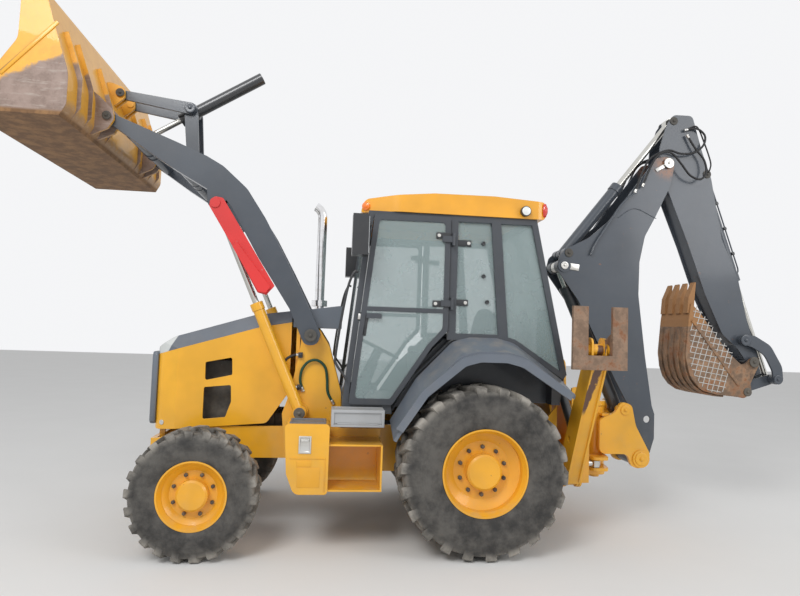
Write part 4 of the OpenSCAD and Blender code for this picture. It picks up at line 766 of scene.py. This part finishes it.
# ---- caps on the ends of the pins, each with its keeper bolt
pins = {  # node that the cap lies on, body, finish: x, z and radius of each
    ("main_frame", "chassis", "castings"): [(-1.352, 1.638, 0.05), (-1.415, 1.022, 0.045)],
    ("loader_bucket", "bucket", "castings"): [(-2.990, 3.292, 0.034), (-3.078, 3.668, 0.036)],
    ("tilt_lever", "lever", "slate"): [(-2.497, 3.590, 0.046)],
    ("swing_post", "swing_tower", "yellow"): [(1.690, 0.600, 0.06), (1.535, 1.040, 0.045)],
    ("backhoe_boom", "hoe_boom", "silver"): [(1.962, 3.394, 0.05), (0.941, 2.361, 0.036)],
    ("backhoe_boom", "hoe_boom", "castings"): [(0.985, 2.482, 0.04)],
    ("dipper", "hoe_dipper", "castings"): [(2.046, 3.835, 0.04), (2.395, 3.330, 0.04), (2.865, 1.517, 0.05)],
    ("guide_link", "hoe_guide", "slate"): [(2.754, 1.724, 0.052), (3.095, 1.355, 0.044)],
    ("backhoe_bucket", "hoe_bucket", "castings"): [(2.719, 1.238, 0.04)],
}
capHeight = 0.009
for (node, body, finish), ends in pins.items():
    parts = []
    for x, z, radius in ends:
        caps, bolts = [], []
        for sign in sides:
            face = faceAt(node, x, z, sign)[0].y
            caps.append(standing(at(x, face - sign * 0.001, z), (0, sign, 0)))
            bolts.append(standing(at(x, face + sign * 0.006, z), (0, sign, 0)))
        parts += [(makeWasher(radius, capHeight), caps), (makeNut(radius * 0.34, capHeight), bolts)]
    addSmall("pinCaps_" + body + "_" + finish, body, finish, parts)
print("pin caps:", 2 * sum(len(ends) for ends in pins.values()))


# ---- backhoe bucket: weld beads in a lattice, a bar across them, and wear strips round its back
weldFields = [
    [(2.168, 2.016), (2.209, 2.030), (2.500, 1.670), (2.565, 1.600), (2.538, 1.425), (2.354, 1.665),
     (2.180, 1.900)],
    [(2.148, 1.885), (2.272, 1.728), (2.416, 1.546), (2.520, 1.414), (2.505, 1.340), (2.489, 1.236),
     (2.376, 1.222), (2.264, 1.277), (2.166, 1.407), (2.140, 1.548)],
]
weld = {"pitch": 0.052, "radius": 0.0042, "tilts": (-0.16, 1.28), "face": 0.24, "shortest": 0.03}
crossBar = {"size": (0.75, 0.016, 0.026), "center": (2.391, 0.244, 1.598), "lean": math.atan2(0.587, 0.464)}
wearStrips = {"places": (-0.195, -0.098, 0.0, 0.098, 0.195), "wide": 0.052, "thick": 0.018, "line": [
    (2.121, 1.824), (2.105, 1.684), (2.096, 1.554), (2.108, 1.444), (2.143, 1.344), (2.198, 1.274),
    (2.283, 1.222), (2.393, 1.199), (2.493, 1.192)]}


# Where a line with this normal and level crosses the edges of a field
def crossings(field, nx, nz, level):
    spots = []
    for (x0, z0), (x1, z1) in zip(field, field[1:] + field[:1]):
        a, b = x0 * nx + z0 * nz - level, x1 * nx + z1 * nz - level
        if a * b < 0:
            share = a / (a - b)
            spots.append((x0 + (x1 - x0) * share, z0 + (z1 - z0) * share))
    return sorted(spots)


def makeBead(length, radius):
    bpy.ops.mesh.primitive_cylinder_add(vertices=10, radius=radius, depth=length, rotation=(0, math.pi / 2, 0))
    bead = newest()
    openMesh(bead)
    pick(bead, faces=lambda face: len(face.verts) > 4)
    bpy.ops.mesh.inset(thickness=radius * 0.5, depth=0.0)
    bpy.ops.transform.resize(value=(1.0 + radius / length, 1, 1))
    closeMesh()
    return settle(bead, "bead")


def fieldLines(field):
    for tilt in weld["tilts"]:
        nx, nz = -math.sin(tilt), math.cos(tilt)
        levels = [x * nx + z * nz for x, z in field]
        for i in range(int((max(levels) - min(levels)) / weld["pitch"]) + 1):
            spots = crossings(field, nx, nz, min(levels) + weld["pitch"] * (i + 0.4))
            yield from zip(spots[::2], spots[1::2])


beads = []
for sign in sides:
    for field in weldFields:
        for (x0, z0), (x1, z1) in fieldLines(field):
            length = math.hypot(x1 - x0, z1 - z0)
            if length > weld["shortest"]:
                turn = Matrix.Rotation(-math.atan2(z1 - z0, x1 - x0), 4, "Y")
                spot = at((x0 + x1) / 2, sign * weld["face"], (z0 + z1) / 2)
                beads += copies(makeBead(length, weld["radius"]), [Matrix.Translation(spot) @ turn])
place(joined(beads), "bucketWelds", "hoe_bucket", "weld")
addSmall("bucketBars", "hoe_bucket", "bucket", [
    (makeBar(crossBar["size"], 0.003), bothSides(*crossBar["center"], crossBar["lean"]))])


# A strip that follows a line in x and z
def makeStrip(points, y, wide, thick):
    bpy.ops.mesh.primitive_grid_add(x_subdivisions=1, y_subdivisions=len(points) - 1, size=1.0)
    strip = newest()
    rows = sorted({round(vert.co.y, 4) for vert in strip.data.vertices})
    for vert in strip.data.vertices:
        x, z = points[rows.index(round(vert.co.y, 4))]
        vert.co = at(x, y + (wide / 2 if vert.co.x > 0 else -wide / 2), z)
    modifier = strip.modifiers.new("thickness", "SOLIDIFY")
    modifier.thickness, modifier.offset = thick, 0.0
    addBevel(strip, thick * 0.3, 1)
    return settle(strip, "strip")


strips = [makeStrip(wearStrips["line"], y, wearStrips["wide"], wearStrips["thick"]) for y in wearStrips["places"]]
place(joined(strips), "bucketStrips", "hoe_bucket", "bucket")
print("backhoe bucket dressed")


# ---- work lamps, markers and mirror faces
addSmall("workLensPair", "chassis", "clearLens", [
    (makeLens(0.035, 0.008), [standing(at(0.355, sign * 0.788, 2.712), (0, sign, 0)) for sign in sides])])
markers = {"orangeLens": {"spot": (-0.945, 2.705), "radius": 0.034, "tall": 1.0, "turn": -0.2},
           "redLens": {"spot": (0.525, 2.735), "radius": 0.03, "tall": 1.9, "turn": 0.6}}
for name, m in markers.items():
    model = makeLens(m["radius"], 0.022)
    model.data.transform(Matrix.Diagonal((1.0, m["tall"], 1.0, 1.0)))
    moves = []
    for sign in sides:
        spot, normal = faceAt("cab_roof", *m["spot"], sign)
        facing = Vector((normal.x + m["turn"], normal.y, 0)).normalized()
        moves.append(standing(spot - facing * 0.006, facing))
    addSmall(name + "Pair", "chassis", name, [(model, moves)])

mirror = {"center": (-0.9375, 0.943, 2.417), "size": (0.006, 0.122, 0.28)}
mirrorFaces = []
for sign in sides:
    x, y, z = mirror["center"]
    bpy.ops.mesh.primitive_cube_add(size=1.0, location=at(x, sign * y, z), scale=mirror["size"])
    mirrorFaces.append(newest())
    insetFaces(newest(), 0, 1, ((0.012, 0.0), (0.004, -0.002)))
    addBevel(mirrorFaces[-1], 0.0015, 1)
    settle(mirrorFaces[-1], "mirrorFace")
place(joined(mirrorFaces), "mirrorFaces", "chassis", "mirror")
print("lamps and mirrors")


# ---- tubes along a smooth line through points
def smoothLine(points, steps=8):
    line = []
    padded = [points[0] * 2 - points[1]] + points + [points[-1] * 2 - points[-2]]
    for a, b, c, d in zip(padded, padded[1:], padded[2:], padded[3:]):
        first, second, third = c - a, 2 * a - 5 * b + 4 * c - d, 3 * b - a - 3 * c + d
        for i in range(steps):
            t = i / steps
            line.append(0.5 * (2 * b + first * t + second * t * t + third * t ** 3))
    line.append(points[-1])
    return line


def makeTube(line, diameter, asMesh=False):
    curve = bpy.data.curves.new("line", "CURVE")
    curve.dimensions = "3D"
    spline = curve.splines.new("POLY")
    spline.points.add(len(line) - 1)
    for point, spot in zip(spline.points, line):
        point.co = (*spot, 1.0)
    curve.bevel_depth, curve.bevel_resolution, curve.use_fill_caps = diameter / 2, 4, True
    tube = bpy.data.objects.new("tube", curve)
    bpy.context.scene.collection.objects.link(tube)
    if asMesh:
        clearSelection()
        bpy.context.view_layer.objects.active = tube
        tube.select_set(True)
        bpy.ops.object.convert(target="MESH")
        bpy.ops.object.shade_smooth_by_angle(angle=0.9)
        tube = newest()
    return tube


# Pipes along one line in x and z, on both sides, at each distance from the machine's middle
def addPipes(name, body, finish, points, places, diameter):
    pipes = [makeTube(smoothLine([at(x, sign * y, z) for x, z in points]), diameter, True)
             for sign in sides for y in places]
    place(joined(pipes), name, body, finish)


# A crimped end: ferrule and six-sided collar on one line
def makeFitting(diameter):
    r = diameter / 2
    ferrule = makeRound("ferrule", 24, r * 1.28, r * 2.6, ((r * 0.18, r * 0.25), (r * 0.1, -r * 0.1)), r * 0.12)
    nut = makeNut(r * 1.5, r * 1.1)
    nut.data.transform(Matrix.Translation((0, 0, -r * 0.9)))
    return joined([ferrule, nut])


def addHose(name, points, diameter, body, finish="hose", blendTo=None):
    line = smoothLine(points)
    length = sum((b - a).length for a, b in zip(line, line[1:]))
    hose = makeTube(line, diameter, blendTo is not None)
    hose.name = hose.data.name = name
    coat(hose, finishes[finish])
    if blendTo:
        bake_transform(hose)
    else:
        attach(hose, body)
    ends = []
    for tip, inner, holder in ((line[0], line[1], body), (line[-1], line[-2], blendTo or body)):
        fitted = copies(makeFitting(diameter), [standing(tip, inner - tip)])[0]
        ends.append(place(fitted, name + "End" + str(len(ends)), holder, "silver"))


# Hoses beside the loader towers, and the clamps that they end in
hoseThick = {"tower": 0.022, "tip": 0.02}
towerHoses = {
    "towerHose": ("hose", [(-1.436, 0.532, 1.475), (-1.470, 0.536, 1.476), (-1.540, 0.545, 1.440),
                           (-1.578, 0.550, 1.350), (-1.548, 0.545, 1.255), (-1.480, 0.536, 1.214),
                           (-1.436, 0.532, 1.215)]),
    "valveHose": ("greenHose", [(-1.400, 0.520, 1.190), (-1.424, 0.532, 1.270), (-1.412, 0.540, 1.360),
                                (-1.360, 0.544, 1.425), (-1.290, 0.544, 1.436), (-1.228, 0.540, 1.384),
                                (-1.208, 0.532, 1.290), (-1.198, 0.528, 1.180), (-1.150, 0.520, 1.090)]),
}
for side, sign in sideNames:
    for name, (finish, points) in towerHoses.items():
        spots = [at(x, sign * y, z) for x, y, z in points]
        addHose(name + side.capitalize(), spots, hoseThick["tower"], "chassis", finish)
clamp = {"x": -1.430, "y": 0.532, "heights": (1.215, 1.475), "size": (0.036, 0.034, 0.044), "boltY": 0.5485}
blocks, bolts = [], []
for z in clamp["heights"]:
    blocks += bothSides(clamp["x"], clamp["y"], z)
    bolts += [standing(at(clamp["x"], sign * clamp["boltY"], z), (0, sign, 0)) for sign in sides]
clamps = addSmall("hoseClamps", "chassis", "black", [
    (makeBar(clamp["size"], 0.004), blocks), (makeNut(0.009, 0.008), bolts)])
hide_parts("hoses")

# Hoses that loop over the boom's tip to the dipper; each comes in towards the middle, or bulges out, on its way
tipHoses = {
    "tipHoseLong": {"y": 0.170, "bulge": 0.0, "points": [
        (1.620, 3.090), (1.680, 3.250), (1.770, 3.420), (1.950, 3.520), (2.090, 3.500), (2.230, 3.520),
        (2.330, 3.600), (2.350, 3.700), (2.270, 3.765), (2.150, 3.745)]},
    "tipHoseLow": {"y": 0.176, "bulge": 0.03, "points": [
        (1.690, 3.150), (1.750, 3.300), (1.815, 3.425), (1.900, 3.490), (1.985, 3.480), (2.075, 3.390),
        (2.170, 3.285), (2.280, 3.255), (2.345, 3.330), (2.330, 3.450), (2.250, 3.560), (2.170, 3.690)]},
}
inward = 0.048
bend = (at(1.80, 0, 3.30), at(2.15, 0, 3.50))  # between these the hoses pass from the boom to the dipper
for side, sign in sideNames:
    for name, h in tipHoses.items():
        spots = []
        for i, (x, z) in enumerate(h["points"]):
            share = i / (len(h["points"]) - 1)
            spots.append(at(x, sign * (h["y"] - inward * share + h["bulge"] * math.sin(math.pi * share)), z))
        addHose(name + side.capitalize(), spots, hoseThick["tip"], "hoe_boom", blendTo="hoe_dipper")
print("hoses")

# Steel lines; those of the bucket's ram are measured along it from its upper pin, and out from its axis
ram = {"pin": (2.395, 3.330), "along": (0.3341, -0.9426), "lean": 1.2302}


def besideRam(along, out):
    (x, z), (dx, dz) = ram["pin"], ram["along"]
    return x + dx * along - dz * out, z + dz * along + dx * out


pipes = {
    "boomLines": ("hoe_boom", "slate", (0.158, 0.178), [
        (1.190, 2.470), (1.240, 2.585), (1.380, 2.803), (1.500, 2.980), (1.610, 3.075)]),
    "dipperLines": ("hoe_dipper", "hose", (0.112,), [
        (2.180, 3.760), (2.279, 3.790), (2.350, 3.655), (2.422, 3.460), (2.420, 3.385), (2.400, 3.345)]),
    "ramLines": ("hoe_cylinder", "slate", (0.018,), [besideRam(*spot) for spot in (
        (0.13, 0.038), (0.155, 0.058), (0.22, 0.064), (0.88, 0.064), (0.99, 0.060), (1.02, 0.038))]),
}
for name, (body, finish, places, points) in pipes.items():
    addPipes(name, body, finish, points, places, 0.014)
saddles = []
for along in (0.3, 0.56, 0.82):
    x, z = besideRam(along, 0.055)
    saddles.append(Matrix.Translation(at(x, 0, z)) @ Matrix.Rotation(ram["lean"], 4, "Y"))
addSmall("ramSaddles", "hoe_cylinder", "black", [(makeBar((0.03, 0.076, 0.03), 0.004), saddles)])
print("steel lines")


# ---- small things: plates beside the pins, weld lines, bolts, hinge buttons, knobs, ribs and box tops
boomFace = abs(faceAt("backhoe_boom", 1.85, 3.33, -1)[0].y)
footFace = abs(faceAt("backhoe_boom", 1.03, 2.35, -1)[0].y)
addSmall("keeperPlates", "hoe_boom", "silver", [
    (makeBar((0.15, 0.01, 0.034), 0.003), bothSides(1.90, boomFace + 0.004, 3.355, -0.55)),
    (makeBar((0.15, 0.01, 0.06), 0.003), bothSides(1.01, footFace + 0.004, 2.354, 0.12))])
addPipes("boomWelds", "hoe_boom", "slate", ((1.462, 2.839), (1.626, 2.936), (1.844, 2.853)),
         (boomFace + 0.001,), 0.008)
addSmall("noseBolts", "hood", "silver", [
    (makeWasher(0.02, 0.006), [onFace("hood_panels", -2.527, 0.894, sign) for sign in sides])])
nose = {"x": -2.612, "post": (0.05, 0.075, 0.56), "rail": (0.05, 0.69, 0.06), "rails": (0.905, 1.435)}
addSmall("noseFrame", "hood", "slateMoulding", [
    (makeBar(nose["post"], 0.014), bothSides(nose["x"], 0.318, 1.17)),
    (makeBar(nose["rail"], 0.014), [Matrix.Translation(at(nose["x"], 0, z)) for z in nose["rails"]])])
labels = {(-1.353, 0.695): (0.108, 0.003, 0.047), (-1.316, 0.596): (0.165, 0.003, 0.147)}  # x, z: size
addSmall("bareLabels", "chassis", "rimYellow", [
    (makeBar(size, 0.0008), bothSides(x, 0.9605, z)) for (x, z), size in labels.items()])
addSmall("bucketRibs", "bucket", "bucketPaint", [
    (makeBar((0.53, 0.012, 0.03), 0.004), bothSides(-3.346, 1.169, 3.568, -0.843))])

# Hinge straps and their buttons on the door's glass and on the pane behind it
straps = {"door": {"spots": ((-0.357, 2.477), (-0.372, 1.926)), "shift": 0.045},
          "cab": {"spots": ((-0.103, 2.431), (-0.118, 1.944)), "shift": -0.045}}
for side, sign in sideNames:
    for owner, s in straps.items():
        node, body = ("door_" + side + "_glass", side + "_door") if owner == "door" else ("cab_glass", "chassis")
        faces = [onFace(node, x, z, sign, 0.0) for x, z in s["spots"]]
        shift = Matrix.Translation((s["shift"], 0, 0))
        bars = [shift @ face @ Matrix.Translation((0, 0, 0.006)) for face in faces]
        buttons = [face @ Matrix.Translation((0, 0, 0.011)) for face in faces]
        title = side.capitalize()
        addSmall(owner + "Straps" + title, body, "black", [(makeBar((0.135, 0.052, 0.012), 0.004), bars)])
        addSmall(owner + "Buttons" + title, body, "silver", [(makeWasher(0.014, 0.005), buttons)])
knobs = ((0.021, 2.436), (0.028, 2.166), (0.063, 1.956))
knobFaces = [onFace("cab_glass", x, z, sign) for x, z in knobs for sign in sides]
addSmall("paneKnobs", "chassis", "black", [(makeWasher(0.017, 0.022), knobFaces)])

# Trays on the side boxes, a pale sill with a sunk tread under each door, and the boxes' latches
trays, sills, latches = [], [], []
for sign in sides:
    trays.append(makeBox("tray", at(-1.335, sign * 0.816, 0.9875), (0.27, 0.23, 0.011),
                         [(2, 1, ((0.012, 0.0), (0.004, -0.007)))], 0.0015))
    sills.append(makeBox("sill", at(-0.965, sign * 0.848, 1.03), (0.40, 0.205, 0.128),
                         [(1, sign, ((0.022, 0.0), (0.004, -0.014))),
                          (2, 1, ((0.02, 0.0), (0.003, -0.004)))], 0.004))
    latches.append(makeBox("latch", at(-1.350, sign * 0.963, 0.834), (0.092, 0.008, 0.128),
                           [(1, sign, ((0.012, 0.0), (0.002, -0.006)))], 0.002))
place(joined(trays), "boxTrays", "chassis", "slateMoulding")
print("small things")
place(joined(sills), "doorSills", "chassis", "sill")
grips = copies(makeBar((0.056, 0.01, 0.018), 0.003), bothSides(-1.350, 0.966, 0.862))
place(joined(latches + grips), "boxLatches", "chassis", "silver")
addSmall("boxSeams", "chassis", "yellow", [
    (makeBar((0.26, 0.006, 0.008), 0.002), bothSides(-1.325, 0.962, 0.735)),
    (makeBar((0.006, 0.006, 0.24), 0.002), bothSides(-1.196, 0.962, 0.610))])
print("sills and latches")

# ---- grab rails on the cab's front posts, and door handles
rails = {"y": 0.762, "thick": 0.02, "line": [(-0.995, 2.150), (-1.030, 2.145), (-1.075, 2.020), (-1.120, 1.740),
                                             (-1.150, 1.480), (-1.140, 1.420), (-1.075, 1.330), (-1.062, 1.300)]}
addPipes("grabRails", "chassis", "black", rails["line"], (rails["y"],), rails["thick"])
handles = {"handlePlate_": ((0.04, 0.014, 0.045), (-0.965, 0.742, 1.800), "silver"),
           "doorHandle_": ((0.03, 0.02, 0.16), (-0.925, 0.752, 1.730), "black")}
for i, (side, sign) in enumerate(sideNames):
    for name, (size, spot, finish) in handles.items():
        addSmall(name + side, side + "_door", finish, [(makeBar(size, 0.004), [bothSides(*spot, 0.12)[i]])])
print("rails and handles")


# ---- operator's seat: crowned cushions with sunk seams on a plain pan, facing forward
seat = {"seatCushion": {"size": (0.46, 0.47, 0.10), "center": (-0.085, 0, 1.415), "lean": 0.03},
        "seatBack": {"size": (0.52, 0.45, 0.09), "center": (0.185, 0, 1.675), "lean": -1.39}}
seatPan = {"half": 0.215, "outline": [(-0.32, 1.345), (-0.32, 1.375), (0.13, 1.368), (0.235, 1.90), (0.292, 1.895),
                                      (0.205, 1.345)]}


def makeCushion(size, crown, seams):
    bpy.ops.mesh.primitive_cube_add(size=1.0)
    pad = newest()
    openMesh(pad)
    bpy.ops.mesh.select_all(action="SELECT")
    bpy.ops.mesh.subdivide(number_cuts=11)
    closeMesh()
    for vert in pad.data.vertices:
        x, y, z = vert.co * 2
        corners = 1.0 - 0.1 * (abs(x * y) ** 3 + abs(y * z) ** 3 + abs(x * z) ** 3)
        bulge = (1 - x ** 4) * (1 - y ** 4)
        height = z * (0.8 + 0.2 * bulge) + (crown * bulge if z > 0 else 0.0)
        for seam in seams:
            height -= 0.16 * math.exp(-((y - seam) / 0.07) ** 2) if z > 0.9 else 0.0
        vert.co = Vector((x * corners * size[0] / 2, y * corners * size[1] / 2, height * size[2] / 2))
    modifier = pad.modifiers.new("round", "SUBSURF")
    modifier.levels = modifier.render_levels = 2
    return settle(pad, "pad", 1.2)


# Flat outline in x and z, pushed out in y
def makePlate(points, half, bevel):
    bpy.ops.mesh.primitive_circle_add(vertices=len(points), radius=1.0, fill_type="NGON")
    plate = newest()
    for vert, (x, z) in zip(plate.data.vertices, points):
        vert.co = at(x, -half, z)
    openMesh(plate)
    bpy.ops.mesh.select_all(action="SELECT")
    bpy.ops.mesh.extrude_region_move(TRANSFORM_OT_translate={"value": (0, 2 * half, 0)})
    closeSolid()
    addBevel(plate, bevel)
    return settle(plate, "plate")


for name, s in seat.items():
    pad = makeCushion(s["size"], 0.16, (-0.5, 0.5))
    pad.data.transform(Matrix.Translation(at(*s["center"])) @ Matrix.Rotation(s["lean"], 4, "Y"))
    place(pad, name, "chassis", "cloth")
    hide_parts("operator_seat")
place(makePlate(seatPan["outline"], seatPan["half"], 0.012), "seatPan", "chassis", "plastic")
print("seat")
